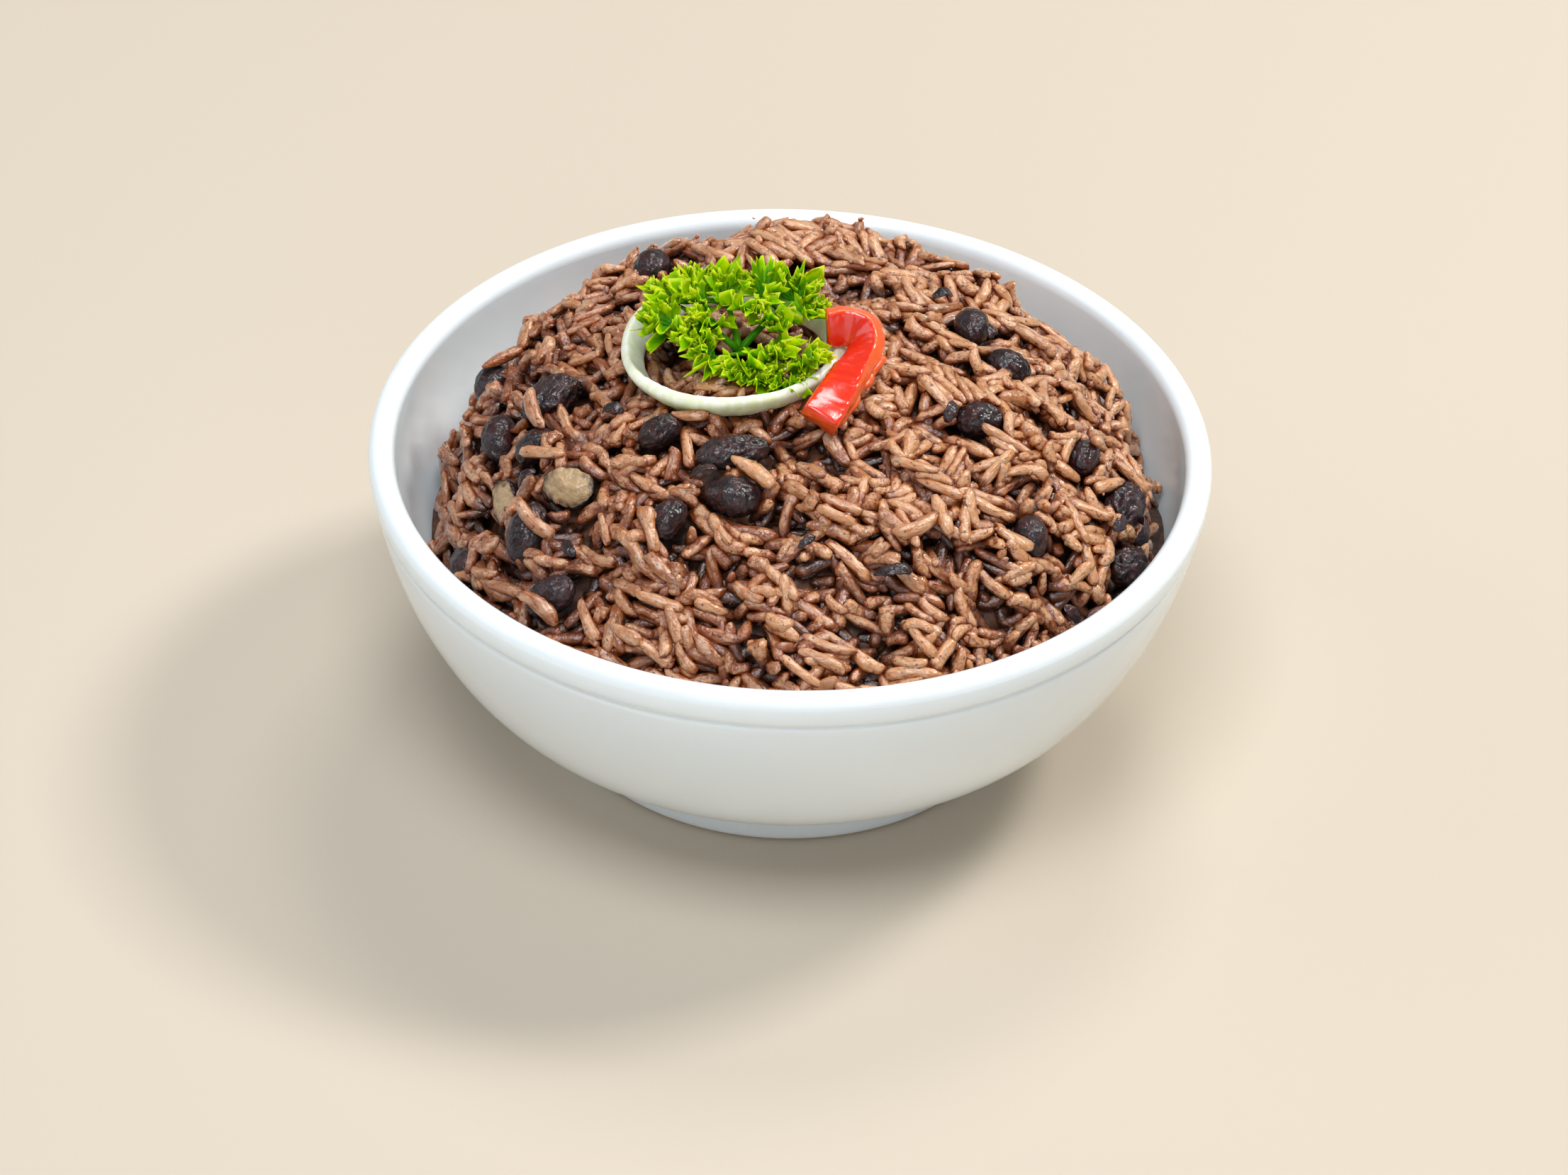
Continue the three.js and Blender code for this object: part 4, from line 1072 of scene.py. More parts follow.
def crumb_places(packing, count, draw):
    """Places on the grains for crumbs, more of them where the heap is steep."""
    out = np.hypot(packing.point[..., 0], packing.point[..., 1])
    bare = (packing.fresh > 0) & (out < RIM_RADIUS - 16)
    share = np.cumsum(1 / packing.slope[bare])
    i, j = np.argwhere(bare)[np.searchsorted(share / share[-1], draw.random(count))].T
    level = packing.height[i, j] + draw.uniform(-0.2, 0.15, count)
    centre = packing.point[i, j] + level[:, None] * packing.normal[i, j]
    along = unit(draw.normal(size=centre.shape))
    across = unit(np.cross(along, draw.normal(size=centre.shape)))
    size = draw.uniform(0.4, 1.4, count)[:, None] * draw.uniform(0.6, 1.2, (count, 3))
    return {"centre": centre, "axes": np.stack([along, across, np.cross(along, across)], 1), "size": size,
            "kind": draw.integers(0, CRUMB_SHAPES, count), "tint": draw.random(count),
            "stain_and_shade": draw.uniform(0.3, 1, count)}


def core_mesh(depth):
    """The closed body of packed rice: it fills the bowl up to depth under the heap's surface."""
    sides, shares = 120, np.array([0.99, 0.96, 0.92, 0.86, 0.78, 0.68, 0.56, 0.42, 0.28, 0.14])
    angle = round_turns(sides)
    reach, low = heap_radius(angle), edge_height(angle)
    rings = []
    for z in np.linspace(0, 1, 8) ** 1.4:
        level = FLOOR_HEIGHT + 1 + (low - 2.2 - FLOOR_HEIGHT - 1) * z
        r = inner_radius(level) - 0.5
        rings.append(np.column_stack([r * np.cos(angle), r * np.sin(angle), level]))
    for share in shares:
        x, y = share * reach * np.cos(angle), share * reach * np.sin(angle)
        top = np.stack([x, y, heap_height(x, y)], -1)
        sunk = top - (depth - 1.4) * heap_normal(x, y)
        sunk += 0.7 * waves(sunk, 5.0, 3)[:, None] * heap_normal(x, y)
        rings.append(sunk)
    floor = np.array([[0, 0, FLOOR_HEIGHT + 1]])
    peak = np.array([[0, 0, HEAP_TOP - depth + 1.4]])
    points, faces = tube(rings, floor, peak)
    return new_mesh("packed_rice", points, faces)


class RICEBOWL_OT_rice(bpy.types.Operator):
    """Settles loose grains of rice, whole, stained, burst and sunk, over a packed core"""

    bl_idname = "ricebowl.rice"
    bl_label = "Heap Rice"

    def execute(self, context):
        settings = context.scene.ricebowl_rice
        packing = settle_grains(settings)
        core = new_piece("packed_rice", core_mesh(settings.depth / MM), core_material())
        settle_in(core, "rice", "rice_heap")

        draw = np.random.default_rng(settings.seed + 9)
        material, tree = rice_material(settings), scatter_tree()

        def scatter_rice(name, places, meshes, seed):
            """Makes one piece of rice out of its places and the shapes to pick from."""
            shapes = shape_collection(name + "_shape", meshes)
            piece = scatter(name, places, shapes, tree, {
                "Lump Size": settings.lump_size, "Lump Height": settings.lump_height,
                "Seed": seed, "Finish": material})
            drop_collection(shapes)
            mark_depth(piece.data, packing)
            settle_in(piece, "rice", "rice_heap")

        grains, sort = sort_grains(packing, settings.seed, draw)
        for number, (name, first, count, sides, stations, burst) in enumerate(GRAIN_SORTS):
            places = {key: values[sort == number] for key, values in grains.items()}
            places["kind"] = draw.integers(0, count, len(places["centre"]))
            meshes = [grain_mesh("grain", first + i, sides, stations, burst) for i in range(count)]
            scatter_rice(name, places, meshes, float(number))
        crumbs = crumb_places(packing, settings.crumbs, draw)
        meshes = [crumb_mesh("crumb", 600 + i) for i in range(CRUMB_SHAPES)]
        scatter_rice("rice_crumbs", crumbs, meshes, 9.0)
        return {"FINISHED"}


# ------------------------------------------------------------------ beans
def bean_mesh(name, bean, number, wrinkle):
    """A black bean: kidney-shaped, its skin dented and wrinkled along its length. A split one
    is a half bean, its face a low dome of flesh ringed by the skin's edge."""
    half = np.array(bean.size) / 2
    rows, columns = 40, 56
    v = np.linspace(-np.pi / 2, np.pi / 2, rows + 2)[1:-1]
    u = round_turns(columns)
    cross = np.column_stack([np.cos(u), np.sin(u)])
    rings = [np.column_stack([np.full(columns, math.sin(a)), math.cos(a) * cross]) for a in v]
    ball, faces = tube(rings, np.array([[-1.0, 0, 0]]), np.array([[1.0, 0, 0]]))
    dent = BEAN_DENT * (1 - ball[:, 0] ** 2) * np.maximum(0, -ball[:, 1])
    points = ball * half
    points[:, 1] += dent * half[1]
    # Lumps 7 mm wide, folds of 2.3 mm along the bean and wrinkles of 1 mm between them.
    shift = number * 11.3
    lumps = 0.06 * half[2] * waves(points + shift, 7.0, 50 + number)
    warp = points * [0.45, 1.0, 1.0] + 0.8 * waves(points, 4.0, 51 + number)[:, None]
    folds = 1 - 2 * np.abs(waves(warp + shift, 2.3, 52 + number))
    fine = waves(warp + shift, 1.0, 53 + number)
    skin = bean.wrinkled * wrinkle * (folds + 0.35 * fine) + lumps
    flesh = np.zeros(len(points))
    points += skin[:, None] * unit(ball / half)
    if bean.split:
        level = SPLIT_LEVEL * bean.size[2]
        above = points[:, 2] - level
        cut = above > 0
        rim = np.exp(-(above / 0.45) ** 2) * (1 + 0.8 * waves(points, 3.0, 56))
        domed = np.maximum(0, 1 - ball[:, 0] ** 2 - ball[:, 1] ** 2)
        face = level + 0.14 * waves(points, 1.6, 54) + 0.3 * waves(points, 4.0, 55) + 1.5 * domed ** 0.7
        points[cut, 2] = (face + 0.5 * rim)[cut]
        pale = np.clip(0.3 + 1.6 * domed + 0.5 * waves(points, 2.0, 57), 0.25, 1)
        flesh = np.clip(above / 0.25 - 0.6, 0, 1) * pale
    axes, centre = bean_axes(bean)
    return new_mesh(name, points @ axes + centre, faces, {"flesh": flesh, "place": points + shift})


def bean_material(settings):
    """Boiled black beans: a thin near-black skin, purple-brown where it is stretched, hazed
    grey with starch, with a wet shine, over tan mealy flesh."""
    material, tree = new_material("Boiled black bean")
    place = add(tree, "ShaderNodeAttribute", attribute_name="place").outputs["Vector"]
    flesh = add(tree, "ShaderNodeAttribute", attribute_name="flesh").outputs["Fac"]
    warm = add(tree, "ShaderNodeTexNoise", {"Vector": place, "Scale": 0.5, "Detail": 2.0})
    purple = add(tree, "ShaderNodeMapRange", {0: warm, 1: 0.45, 2: 0.62, 4: 0.8})
    cloud = add(tree, "ShaderNodeTexNoise", {
        "Vector": place, "Scale": 0.28, "Detail": 4.0, "Roughness": 0.6})
    haze = add(tree, "ShaderNodeMapRange", {0: cloud, 1: 0.5, 2: 0.78, 4: 0.55})
    meal = add(tree, "ShaderNodeTexNoise", {"Vector": place, "Scale": 1.6, "Detail": 5.0, "Roughness": 0.7})
    inner = add(tree, "ShaderNodeMix", {0: meal, 6: settings.flesh, 7: linear("#8F7050")}, data_type="RGBA")
    tone = settings.skin
    for share, colour in ((purple, linear("#3C1B18")), (haze, settings.bloom), (flesh, inner)):
        tone = add(tree, "ShaderNodeMix", {0: share, 6: tone, 7: colour}, data_type="RGBA")
    rough = add(tree, "ShaderNodeMapRange", {0: cloud, 1: 0.35, 2: 0.7, 3: 0.3, 4: 0.6})
    crinkle = add(tree, "ShaderNodeTexNoise", {"Vector": place, "Scale": 1.1, "Detail": 1.5})
    bump = add(tree, "ShaderNodeBump", {"Strength": 1.0, "Distance": 0.35 * MM, "Height": crinkle})
    shader = add(tree, "ShaderNodeBsdfPrincipled", {
        "Base Color": tone, "Roughness": rough, "IOR": 1.45, "Specular IOR Level": 0.35,
        "Coat Weight": 0.4, "Coat Roughness": 0.12, "Normal": bump, "Coat Normal": bump})
    add(tree, "ShaderNodeOutputMaterial", {"Surface": shader})
    return material


def skin_flakes(thickness):
    """Torn bits of bean skin, curled, lying on the rice."""
    draw = np.random.default_rng(77)
    flakes, steps = [], 13
    for x, y, turn, length, width, curl in SKIN_FLAKES:
        along, across, up, centre = lie_at(x, y, math.radians(turn), 1.2)
        curl = math.radians(curl)
        t = np.linspace(-0.5, 0.5, steps)
        a, radius = curl * t, length / curl
        path = (centre + radius * np.sin(a)[:, None] * along
                + radius * (np.cos(a) - math.cos(curl / 2))[:, None] * up)
        path += 0.25 * waves(path, 3.0, 78)[:, None] * up
        spreads = across + draw.uniform(-0.5, 0.5) * up + 0.6 * t[:, None] * up
        wide = width * np.sqrt(1 - np.abs(2 * t) ** 2.6 * 0.93) * draw.uniform(0.75, 1.1, steps)
        flakes.append(strap(path, spreads, [soft_section(w, thickness, 12, 3.0) for w in wide]))
    points, faces = joined(flakes)
    return new_mesh("bean_skins", points, faces, {"flesh": np.zeros(len(points)), "place": points})


class RICEBOWL_OT_beans(bpy.types.Operator):
    """Places the black beans, wrinkled, whole or split, where they lie in the heap"""

    bl_idname = "ricebowl.beans"
    bl_label = "Place Beans"

    def execute(self, context):
        settings = context.scene.ricebowl_beans
        material = bean_material(settings)
        for number, bean in enumerate(BEANS, 1):
            name = f"black_bean_{number:02d}"
            mesh = bean_mesh(name, bean, number, settings.wrinkle / MM)
            piece = new_piece(name, mesh, material)
            settle_in(piece, "bean", f"bean_{number:02d}")
        skins = new_piece("bean_skins", skin_flakes(settings.skin_thickness / MM), material)
        settle_in(skins, "bean", "bean_14")
        return {"FINISHED"}


# ------------------------------------------------------------------ garnish
def mesh_normals(points, faces):
    """Outward unit normals at the points of a closed body of quads and triangles."""
    normals = np.zeros_like(points)
    for face in faces:
        corners = points[list(face)]
        normal = np.cross(corners[1] - corners[0], corners[2] - corners[0])
        if len(face) == 4:
            normal = normal + np.cross(corners[2] - corners[0], corners[3] - corners[0])
        normals[list(face)] += normal
    return unit(normals)


def band_axes(path, spreads, closed=False):
    """Directions across and through a band at each point of its path, square to the path."""
    axes, count = [], len(path)
    for i, spread in enumerate(spreads):
        before, after = (i - 1, (i + 1) % count) if closed else (max(0, i - 1), min(count - 1, i + 1))
        tangent = unit(path[after] - path[before])
        across = unit(spread - (spread @ tangent) * tangent)
        axes.append((across, np.cross(tangent, across)))
    return axes


def strap(path, spreads, sections, closed=False):
    """Points and faces of a band swept along path. spreads are its width directions, and
    sections its outlines, as (across, through) offsets."""
    rings = [point + outline[:, :1] * across + outline[:, 1:] * through
             for point, outline, (across, through) in zip(path, sections, band_axes(path, spreads, closed))]
    if not closed:
        return tube(rings, rings[0].mean(0, keepdims=True), rings[-1].mean(0, keepdims=True))
    points = np.vstack(rings)
    faces = grid_faces(len(rings) + 1, len(rings[0]), True)
    return points, [tuple(i % len(points) for i in face) for face in faces]


def soft_section(width, thickness, sides, power=4.0):
    """A rounded box outline, counter-clockwise, as (across, through) offsets."""
    a = round_turns(sides)
    c, s = np.cos(a), np.sin(a)
    return np.column_stack([width / 2 * np.sign(c) * np.abs(c) ** (2 / power),
                            thickness / 2 * np.sign(s) * np.abs(s) ** (2 / power)])


def ring_mesh(thickness):
    """The onion ring: a flared band, uneven in width, its lower edge pressed into the rice."""
    steps, sides = 144, 20
    angle = round_turns(steps)
    radius = RING_RADIUS * (1 + 0.025 * np.cos(2 * angle + 0.5) + 0.015 * np.cos(3 * angle))
    x, y = RING_CENTRE[0] + radius * np.cos(angle), RING_CENTRE[1] + radius * np.sin(angle)
    lean = np.radians(RING_FLARE + 8 * np.cos(angle + np.pi))
    rise = RING_WIDTH / 2 * np.cos(lean)
    path = np.column_stack([x, y, heap_height(x, y) - RING_SINK + RING_RAISE + rise])
    spreads = np.column_stack([np.sin(lean) * np.cos(angle), np.sin(lean) * np.sin(angle), np.cos(lean)])
    swell = 1 + 0.05 * np.cos(5 * angle + 1) + 0.03 * np.cos(9 * angle)
    sections = []
    for a, wider in zip(angle, swell):
        outline = soft_section(RING_WIDTH * wider, thickness * (0.9 + 0.12 * math.cos(3 * a)), sides)
        outline[:, 1] += 0.22 * (1 - (2 * outline[:, 0] / RING_WIDTH) ** 2)
        sections.append(outline)
    points, faces = strap(path, spreads, sections, closed=True)
    points += 0.07 * waves(points, 2.2, 61)[:, None] * [0.4, 0.4, 1]
    return new_mesh("onion", points, faces)


def onion_material(settings):
    """Raw white onion, sliced: wet, nearly clear flesh, milky and greenish along its fibres."""
    material, tree = new_material("Raw onion flesh")
    place = add(tree, "ShaderNodeTexCoord").outputs["Object"]
    fibres = add(tree, "ShaderNodeVectorMath", {0: place, 1: (1.0, 1.0, 0.25)}, operation="MULTIPLY")
    cloud = add(tree, "ShaderNodeTexNoise", {"Vector": fibres, "Scale": 1 / (1.5 * MM), "Detail": 2.0})
    milky = add(tree, "ShaderNodeMapRange", {0: cloud, 1: 0.4, 2: 0.65})
    tone = add(tree, "ShaderNodeMix", {0: milky, 6: settings.onion, 7: linear("#EEF3E0")}, data_type="RGBA")
    bump = add(tree, "ShaderNodeBump", {"Strength": 0.35, "Distance": 0.2 * MM, "Height": cloud})
    shader = add(tree, "ShaderNodeBsdfPrincipled", {
        "Base Color": tone, "Roughness": 0.4, "IOR": 1.36, "Subsurface Weight": 0.9,
        "Subsurface Radius": (1.0, 1.0, 0.75), "Subsurface Scale": 2.6 * MM,
        "Coat Weight": 0.25, "Coat Roughness": 0.2, "Normal": bump})
    add(tree, "ShaderNodeOutputMaterial", {"Surface": shader})
    return material


class RICEBOWL_OT_onion(bpy.types.Operator):
    """Lays the onion ring on the heap"""

    bl_idname = "ricebowl.onion"
    bl_label = "Lay Onion Ring"

    def execute(self, context):
        settings = context.scene.ricebowl_garnish
        piece = new_piece("onion", ring_mesh(settings.ring_thickness / MM), onion_material(settings))
        settle_in(piece, "onion", "onion_ring")
        return {"FINISHED"}


def pepper_mesh(width, thickness):
    """The curled pepper strip: crowned, wrinkled skin on one face, lumpy flesh on the other,
    clean cuts between them, and a torn shred of flesh along its back."""
    steps, sides = 14, 48
    line = smooth_line([(x, y, HEAP_TOP + up) for x, y, up in PEPPER_LINE], steps)
    spreads = smooth_line(PEPPER_ACROSS, steps)
    outline = soft_section(width, thickness, sides, 7.0)
    points, faces = strap(line, spreads, [outline] * len(line))
    around = np.vstack([np.tile(outline / [width, thickness], (len(line), 1)), [[0, 0], [0, 0]]])
    skin = np.clip((-0.40 - around[:, 1]) / 0.06, 0, 1)
    flesh = np.clip((around[:, 1] - 0.3) / 0.2, 0, 1)
    run = np.append(np.repeat(np.linspace(0, 1, len(line)), sides), [0, 1])
    outward = mesh_normals(points, faces)
    folds = (1 - 2 * np.abs(waves(points * [1.0, 1.5, 1.0], 4.2, 73))) * np.exp(-((run - 0.36) / 0.16) ** 2)
    rise = skin * (0.3 * (1 - (2 * around[:, 0]) ** 2) + 0.12 * folds + 0.03 * waves(points, 2.0, 74))
    rise += flesh * 0.35 * waves(points, 2.2, 75) + 0.07 * waves(points, 0.9, 76)
    points = points + rise[:, None] * outward

    # The shred runs along the strip's edge, but for its two ends.
    middle, wide = line[6:44:2], spreads[6:44:2]
    shred = np.array([point + 1.9 * across + (thickness / 2 + 0.1) * through
                      for point, (across, through) in zip(middle, band_axes(middle, wide))])
    ragged = 1 + 0.35 * waves(shred, 3.0, 77)
    sections = [soft_section(4.6 * share, 1.5, 24, 3.0) for share in ragged]
    edge_points, edge_faces = strap(shred, wide, sections)
    edge_points += 0.22 * waves(edge_points, 1.5, 78)[:, None]
    points, faces = joined([(points, faces), (edge_points, edge_faces)])
    return new_mesh("pepper", points, faces, {"skin": np.append(skin, np.zeros(len(edge_points)))})


def pepper_material(settings):
    """Fresh red pepper: a waxy scarlet skin with a wet shine over juicy orange-red cut flesh."""
    material, tree = new_material("Fresh red pepper")
    place = add(tree, "ShaderNodeTexCoord").outputs["Object"]
    skin = add(tree, "ShaderNodeAttribute", attribute_name="skin").outputs["Fac"]
    cell = add(tree, "ShaderNodeTexNoise", {"Vector": place, "Scale": 1 / (0.9 * MM), "Detail": 3.0})
    juicy = linear("#F0500F")
    flesh = add(tree, "ShaderNodeMix", {0: cell, 6: settings.pepper_flesh, 7: juicy}, data_type="RGBA")
    tone = add(tree, "ShaderNodeMix", {0: skin, 6: flesh, 7: settings.pepper_skin}, data_type="RGBA")
    rough = add(tree, "ShaderNodeMix", {0: skin, 2: 0.38, 3: 0.18})
    bump = add(tree, "ShaderNodeBump", {"Strength": 0.35, "Distance": 0.2 * MM, "Height": cell})
    shader = add(tree, "ShaderNodeBsdfPrincipled", {
        "Base Color": tone, "Roughness": rough, "IOR": 1.4, "Subsurface Weight": 0.3,
        "Subsurface Radius": (1.0, 0.25, 0.1), "Subsurface Scale": 1.5 * MM,
        "Coat Weight": 1.0, "Coat Roughness": 0.2, "Normal": bump})
    add(tree, "ShaderNodeOutputMaterial", {"Surface": shader})
    return material


class RICEBOWL_OT_pepper(bpy.types.Operator):
    """Curls the strip of red pepper over the onion ring"""

    bl_idname = "ricebowl.pepper"
    bl_label = "Curl Pepper"

    def execute(self, context):
        settings = context.scene.ricebowl_garnish
        mesh = pepper_mesh(settings.pepper_width / MM, settings.pepper_thickness / MM)
        piece = new_piece("pepper", mesh, pepper_material(settings))
        settle_in(piece, "pepper", "pepper_strip")
        return {"FINISHED"}


BROAD_BLADES = 8        # shapes drawn for the broad blades, and for the small ones
SMALL_BLADES = 8


def blade_mesh(name, seed, lobes):
    """One blade of curly parsley, 1 mm long, spreading from the origin along X: a fan, flat by its
    stalk, whose margin curls up into small pointed lobes. It is a thin closed shell."""
    draw = np.random.default_rng(seed)
    rows, per_lobe = 8, (0.8, 1.0, 0.88)
    columns = len(per_lobe) * lobes + 1
    reach = np.append(np.tile(per_lobe, lobes), per_lobe[0])
    place = np.linspace(0, lobes, columns)
    posts = np.arange(lobes + 1)
    reach *= 1 - 0.26 * np.abs(np.cos(np.pi * place / 3)) ** 4
    reach = reach * np.interp(place, posts, draw.uniform(0.84, 1.14, lobes + 1))
    fan = math.radians(draw.uniform(46, 62))
    spread = np.linspace(-fan, fan, columns) + np.interp(place, posts, draw.uniform(-0.05, 0.05, lobes + 1))
    reach *= 1 - 0.22 * (spread / fan) ** 2
    curl = np.radians(36 + 48 * np.sin(place * draw.uniform(1.3, 2.0) + draw.uniform(0, 6)))
    curl += np.interp(place, posts, np.radians(draw.uniform(-34, 34, lobes + 1)))
    rho = np.linspace(0.05, 1, rows)
    bend = np.clip((rho - 0.45) / 0.55, 0, 1)
    bend = bend * bend * (3 - 2 * bend)
    slope = draw.uniform(-0.15, 0.2) + curl[None, :] * bend[:, None]
    step = np.diff(rho, prepend=0)[:, None] * reach[None, :]
    out, up = np.cumsum(np.cos(slope) * step, 0), np.cumsum(np.sin(slope) * step, 0)
    up += 0.07 * rho[:, None] * np.sin(2.6 * place + draw.uniform(0, 6))[None, :]
    side = np.broadcast_to(spread, out.shape)
    top = np.stack([out * np.cos(side), out * np.sin(side), up], -1).reshape(-1, 3)
    facing = np.stack([-np.sin(slope) * np.cos(side), -np.sin(slope) * np.sin(side), np.cos(slope)], -1)
    thin = 0.04 * (1 - 0.5 * rho[:, None, None])
    bottom = top - (thin * facing).reshape(-1, 3)
    count = len(top)
    upper = grid_faces(rows, columns, False)
    faces = [tuple(reversed(f)) for f in upper] + [tuple(i + count for i in f) for f in upper]
    border = list(range(columns)) + [r * columns + columns - 1 for r in range(1, rows)]
    border += [(rows - 1) * columns + c for c in range(columns - 2, -1, -1)]
    border += [r * columns for r in range(rows - 2, 0, -1)]
    for first, second in zip(border, border[1:] + border[:1]):
        faces.append((first, second, second + count, first + count))
    tips = np.tile([0.0, 1.0, 0.0], lobes + 1)[:columns]
    edge = 0.8 * rho[:, None] + 0.2 * rho[:, None] ** 6 * tips[None, :]
    edge = edge.ravel()
    return new_mesh(name, np.vstack([top, bottom]), faces, {"edge": np.concatenate([edge, edge])})


def stem_points(start, end, radius, arch):
    """A tapered stem from start to end with a slight upward arch."""
    sides, steps = 8, 10
    t = np.linspace(0, 1, steps)[:, None]
    line = start + (end - start) * t + np.array([0, 0, arch]) * 4 * t * (1 - t)
    rings = []
    for i, point in enumerate(line):
        tangent = unit(line[min(i + 1, steps - 1)] - line[max(i - 1, 0)])
        side = unit(np.cross(tangent, [0.1, 0.2, 1.0]))
        up = np.cross(side, tangent)
        a, r = round_turns(sides), radius * (1 - 0.45 * i / steps)
        rings.append(point + r * (np.cos(a)[:, None] * side + np.sin(a)[:, None] * up))
    return tube(rings, line[:1], line[-1:])


def parsley_material(settings):
    """Fresh curly parsley: thin waxy blades that let light through, lime at the teeth's tips,
    darker in towards the stalks and down in the folds, partly the leaf's own green and partly painted
    shade."""
    material, tree = new_material("Fresh curly parsley")
    place = add(tree, "ShaderNodeTexCoord").outputs["Object"]
    edge = add(tree, "ShaderNodeAttribute", attribute_name="edge").outputs["Fac"]
    tint = add(tree, "ShaderNodeAttribute", attribute_name="tint").outputs["Fac"]
    cloud = add(tree, "ShaderNodeTexNoise", {"Vector": place, "Scale": 1 / (2.2 * MM), "Detail": 2.0})
    own = add(tree, "ShaderNodeMath", {0: tint, 1: 0.35}, operation="MULTIPLY")
    shade = add(tree, "ShaderNodeMath", {0: cloud, 1: own}, operation="ADD")
    # Painted light and shade: blades lighter out at their margins, darker in towards the stalks and in the
    # folds, varied at random.
    lit = add(tree, "ShaderNodeMath", {0: edge, 1: shade}, operation="MULTIPLY")
    lit_share = add(tree, "ShaderNodeMapRange", {0: lit, 1: 0.16, 2: 0.62})
    tip = add(tree, "ShaderNodeMapRange", {0: edge, 1: 0.78, 2: 0.98, 4: 0.75})
    tone = linear("#2F7800")
    for share, colour in ((lit_share, settings.leaf), (tip, settings.leaf_tip)):
        tone = add(tree, "ShaderNodeMix", {0: share, 6: tone, 7: colour}, data_type="RGBA")
    vein = add(tree, "ShaderNodeTexNoise", {"Vector": place, "Scale": 1 / (0.5 * MM), "Detail": 2.0})
    bump = add(tree, "ShaderNodeBump", {"Strength": 0.4, "Distance": 0.12 * MM, "Height": vein})
    shader = add(tree, "ShaderNodeBsdfPrincipled", {
        "Base Color": tone, "Roughness": 0.3, "IOR": 1.42, "Specular IOR Level": 0.1,
        "Subsurface Weight": 0.6, "Subsurface Radius": (0.7, 1.0, 0.2), "Subsurface Scale": 1.0 * MM,
        "Normal": bump})
    add(tree, "ShaderNodeOutputMaterial", {"Surface": shader})
    return material


class RICEBOWL_OT_parsley(bpy.types.Operator):
    """Grows the sprig of curly parsley: its stems and its frilled leaf lobes"""

    bl_idname = "ricebowl.parsley"
    bl_label = "Grow Parsley"

    def execute(self, context):
        settings = context.scene.ricebowl_garnish
        material = parsley_material(settings)
        draw = np.random.default_rng(31)
        bodies, centre, axes, size, kind, tint = [], [], [], [], [], []

        def put_blade(root, heading, rise, length, small):
            """Notes a blade that grows from root, one of the broad shapes or the small ones."""
            aim = np.array([math.cos(heading) * math.cos(rise), math.sin(heading) * math.cos(rise),
                            math.sin(rise)])
            lift = np.array([0, 0, 1.0]) if rise < 1.0 else np.array([draw.uniform(-0.5, 0.5), -1.0, 0.3])
            up = unit(lift - (lift @ aim) * aim)
            up = unit(up + draw.uniform(-0.4, 0.4) * np.cross(aim, up))
            centre.append(root)
            axes.append([aim, np.cross(up, aim), up])
            size.append([length] * 3)
            kind.append(draw.integers(BROAD_BLADES, BROAD_BLADES + SMALL_BLADES) if small
                        else draw.integers(0, BROAD_BLADES))
            tint.append(draw.uniform(0.0, 1.0))

        root = np.array(SPRIG_ROOT) + [0, 0, HEAP_TOP]
        for fork, clusters in BRANCHES:
            fork = np.array(fork) + [0, 0, HEAP_TOP]
            stems = [(root, fork, 0.75, 0.6)]
            for x, y, over, reach, heading, tilt in clusters:
                heart = np.array([x, y, HEAP_TOP + over])
                heading, tilt = math.radians(heading), math.radians(tilt)
                facing = np.array([math.cos(heading), math.sin(heading), 0])
                stalk = heart - 0.6 * reach * facing - [0, 0, 0.9]
                stems.append((fork, stalk, 0.5, 0.4))
                put_blade(stalk, heading, tilt + draw.uniform(0.0, 0.2), 1.75 * reach, False)
                for sign in (-1, 1):
                    turn = heading + sign * math.radians(draw.uniform(50, 80))
                    put_blade(stalk + 0.15 * reach * facing, turn, tilt + draw.uniform(0.1, 0.4),
                              reach * draw.uniform(1.15, 1.4), True)
                for _ in range(3):
                    put_blade(heart + draw.uniform(-0.25, 0.35) * reach * facing - [0, 0, 0.5],
                              heading + draw.uniform(-1.6, 1.6), draw.uniform(0.35, 1.0),
                              reach * draw.uniform(0.75, 1.0), True)
            bodies += [stem_points(*stem) for stem in stems]
        points, faces = joined(bodies)
        marks = {"edge": np.full(len(points), 0.3), "tint": np.full(len(points), 0.5)}
        piece = new_piece("parsley_stems", new_mesh("parsley_stems", points, faces, marks), material)
        settle_in(piece, "parsley", "parsley")
        blades = [blade_mesh("blade", 400 + i, 12) for i in range(BROAD_BLADES)]
        blades += [blade_mesh("blade", 500 + i, 9) for i in range(SMALL_BLADES)]
        shapes = shape_collection("blade", blades)
        places = {"centre": centre, "axes": np.array(axes), "size": size, "kind": kind, "tint": tint}
        leaves = scatter("parsley_leaves", places, shapes, scatter_tree(), {
            "Lump Size": 1.6 * MM, "Lump Height": 0.15 * MM, "Seed": 3.0, "Finish": material})
        drop_collection(shapes)
        settle_in(leaves, "parsley", "parsley")
        return {"FINISHED"}


# ------------------------------------------------------------------ stage
PICTURE = (2212, 1658)          # frame that the camera is set for, in pixels
FOCAL_PIXELS = 8020.0
AIM_PIXEL = (1115.0, 634.1)     # where the middle of the lip's circle stands in that frame
EYE_ELEVATION = 36.12           # degrees above the table
EYE_DISTANCE = 1012.1           # mm from the middle of the lip's circle
EYE_ROLL = 1.76                 # degrees
FLOOR_HALF = 3000.0             # half the floor's width, mm


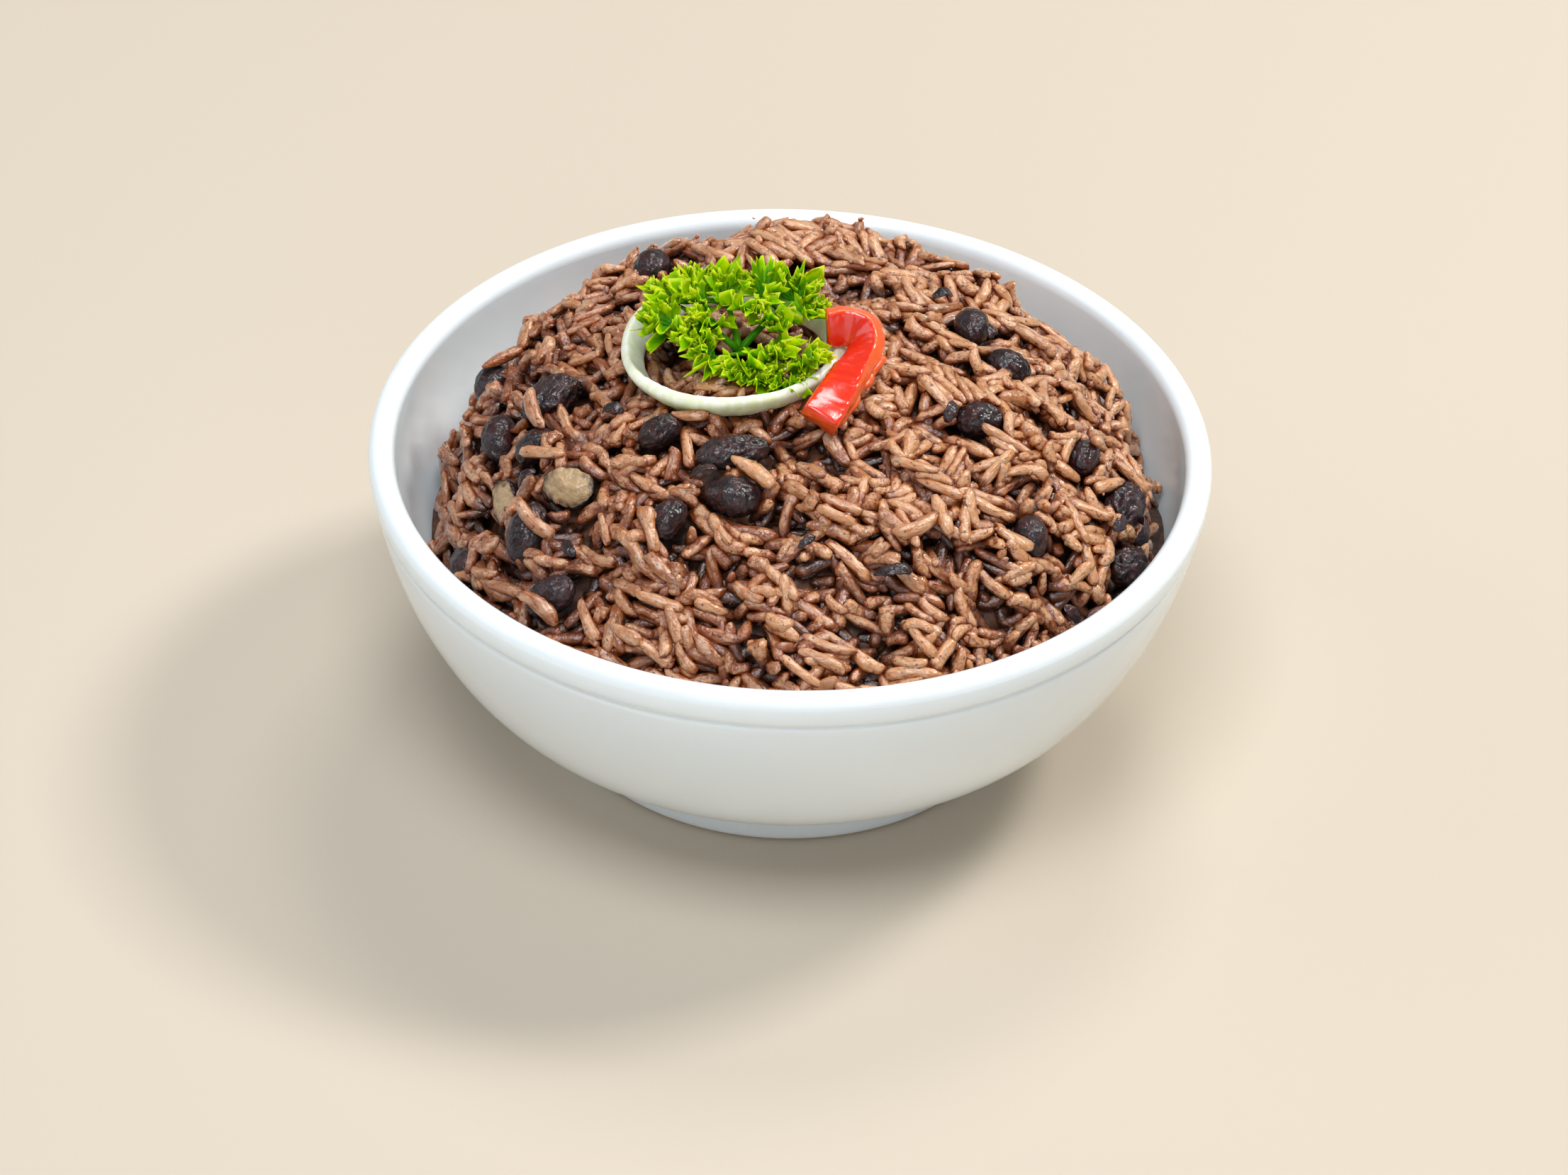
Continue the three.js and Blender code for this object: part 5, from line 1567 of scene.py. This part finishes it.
def place_camera():
    """The eye: in front of the bowl, looking down at it, a little turned."""
    data = bpy.data.cameras.new("Eye")
    data.sensor_width = 36.0
    data.lens = FOCAL_PIXELS * data.sensor_width / PICTURE[0]
    data.clip_start, data.clip_end = 0.05, 20.0
    camera = bpy.data.objects.new("Eye", data)
    bpy.context.scene.collection.objects.link(camera)
    e = math.radians(EYE_ELEVATION)
    back = Vector((0, -math.cos(e), math.sin(e)))
    right = Vector((1, 0, 0))
    level = Matrix((right, back.cross(right), back)).transposed()
    aim = Vector(((AIM_PIXEL[0] - PICTURE[0] / 2) / FOCAL_PIXELS,
                  -(AIM_PIXEL[1] - PICTURE[1] / 2) / FOCAL_PIXELS, -1.0))
    pan = aim.rotation_difference(Vector((0, 0, -1))).to_matrix()
    turn = level @ Matrix.Rotation(math.radians(EYE_ROLL), 3, "Z") @ pan
    target = Vector((0, 0, LIP_HEIGHT * MM))
    camera.matrix_world = Matrix.Translation(target + back * EYE_DISTANCE * MM) @ turn.to_4x4()
    bpy.context.scene.camera = camera


def place_light(name, at, size, power, tint):
    """A square soft light aimed at the bowl."""
    data = bpy.data.lights.new(name, "AREA")
    data.shape, data.size, data.energy = "SQUARE", size, power
    data.color = linear(tint)[:3]
    lamp = bpy.data.objects.new(name, data)
    bpy.context.scene.collection.objects.link(lamp)
    lamp.location = at
    lamp.rotation_mode = "QUATERNION"
    lamp.rotation_quaternion = (Vector((0, 0, 0.05)) - Vector(at)).to_track_quat("-Z", "Y")


def floor_material(settings):
    """Plain matt paper, pale and warm."""
    material, tree = new_material("Matt pale paper")
    shader = add(tree, "ShaderNodeBsdfPrincipled", {"Base Color": settings.floor, "Roughness": 0.85})
    add(tree, "ShaderNodeOutputMaterial", {"Surface": shader})
    return material


class RICEBOWL_OT_stage(bpy.types.Operator):
    """Sets the floor, the soft light and the camera"""

    bl_idname = "ricebowl.stage"
    bl_label = "Set Stage"

    def execute(self, context):
        scene = context.scene
        settings = scene.ricebowl_stage
        corners = FLOOR_HALF * np.array([(-1, -1, 0), (1, -1, 0), (1, 1, 0), (-1, 1, 0)])
        floor = new_piece("floor", new_mesh("floor", corners, [(0, 1, 2, 3)]), floor_material(settings))
        place_light("Window light", (0.87, 0.41, 1.15), 0.3, settings.key, "#FFFCF8")
        place_light("Front light", (-0.1, -0.55, 1.4), 0.6, settings.fill, "#F4F8FF")
        place_light("Low front light", (0.0, -1.36, 0.63), 1.2, settings.front, "#F4F8FF")
        place_light("Left light", (-1.3, 0.0, 0.75), 1.0, settings.side, "#EFF6FF")
        place_light("Glint light", (0.21, 0.79, 1.26), 0.45, settings.glint, "#FFFFFF")
        world = bpy.data.worlds.new("Even daylight")
        scene.world = world
        world.use_nodes = True
        sky = world.node_tree.nodes["Background"].inputs
        sky["Color"].default_value, sky["Strength"].default_value = linear("#F3F6FA"), settings.sky
        scene.view_settings.view_transform = "Standard"
        place_camera()
        return {"FINISHED"}


class RICEBOWL_PT_panel(bpy.types.Panel):
    """Lists what the bowl is made of."""

    bl_idname = "RICEBOWL_PT_panel"
    bl_label = "Bowl of Rice and Beans"
    bl_space_type = "VIEW_3D"
    bl_region_type = "UI"
    bl_category = "Rice Bowl"

    def draw(self, context):
        scene = context.scene
        parts = [
            (scene.ricebowl_bowl, [RICEBOWL_OT_bowl]), (scene.ricebowl_rice, [RICEBOWL_OT_rice]),
            (scene.ricebowl_beans, [RICEBOWL_OT_beans]),
            (scene.ricebowl_garnish, [RICEBOWL_OT_onion, RICEBOWL_OT_pepper, RICEBOWL_OT_parsley]),
            (scene.ricebowl_stage, [RICEBOWL_OT_stage]),
        ]
        for settings, operators in parts:
            box = self.layout.box()
            for name in settings.__annotations__:
                box.prop(settings, name)
            for operator in operators:
                box.operator(operator.bl_idname)


GROUPS = {
    "ricebowl_bowl": BowlSettings, "ricebowl_rice": RiceSettings, "ricebowl_beans": BeanSettings,
    "ricebowl_garnish": GarnishSettings, "ricebowl_stage": StageSettings,
}
OPERATORS = (
    RICEBOWL_OT_bowl, RICEBOWL_OT_rice, RICEBOWL_OT_beans, RICEBOWL_OT_onion, RICEBOWL_OT_pepper,
    RICEBOWL_OT_parsley, RICEBOWL_OT_stage,
)
CLASSES = (*GROUPS.values(), *OPERATORS, RICEBOWL_PT_panel)


def register():
    """Registers the classes and gives each scene its settings."""
    for item in CLASSES:
        bpy.utils.register_class(item)
    for name, group in GROUPS.items():
        setattr(bpy.types.Scene, name, PointerProperty(type=group))


def unregister():
    """Takes the settings and the classes away again."""
    for name in GROUPS:
        delattr(bpy.types.Scene, name)
    for item in reversed(CLASSES):
        bpy.utils.unregister_class(item)


def main():
    """Makes every piece and the stage."""
    register()
    bpy.ops.ricebowl.bowl()
    bpy.ops.ricebowl.rice()
    bpy.ops.ricebowl.beans()
    bpy.ops.ricebowl.onion()
    bpy.ops.ricebowl.pepper()
    bpy.ops.ricebowl.parsley()
    bpy.ops.ricebowl.stage()


if __name__ == "__main__":
    main()
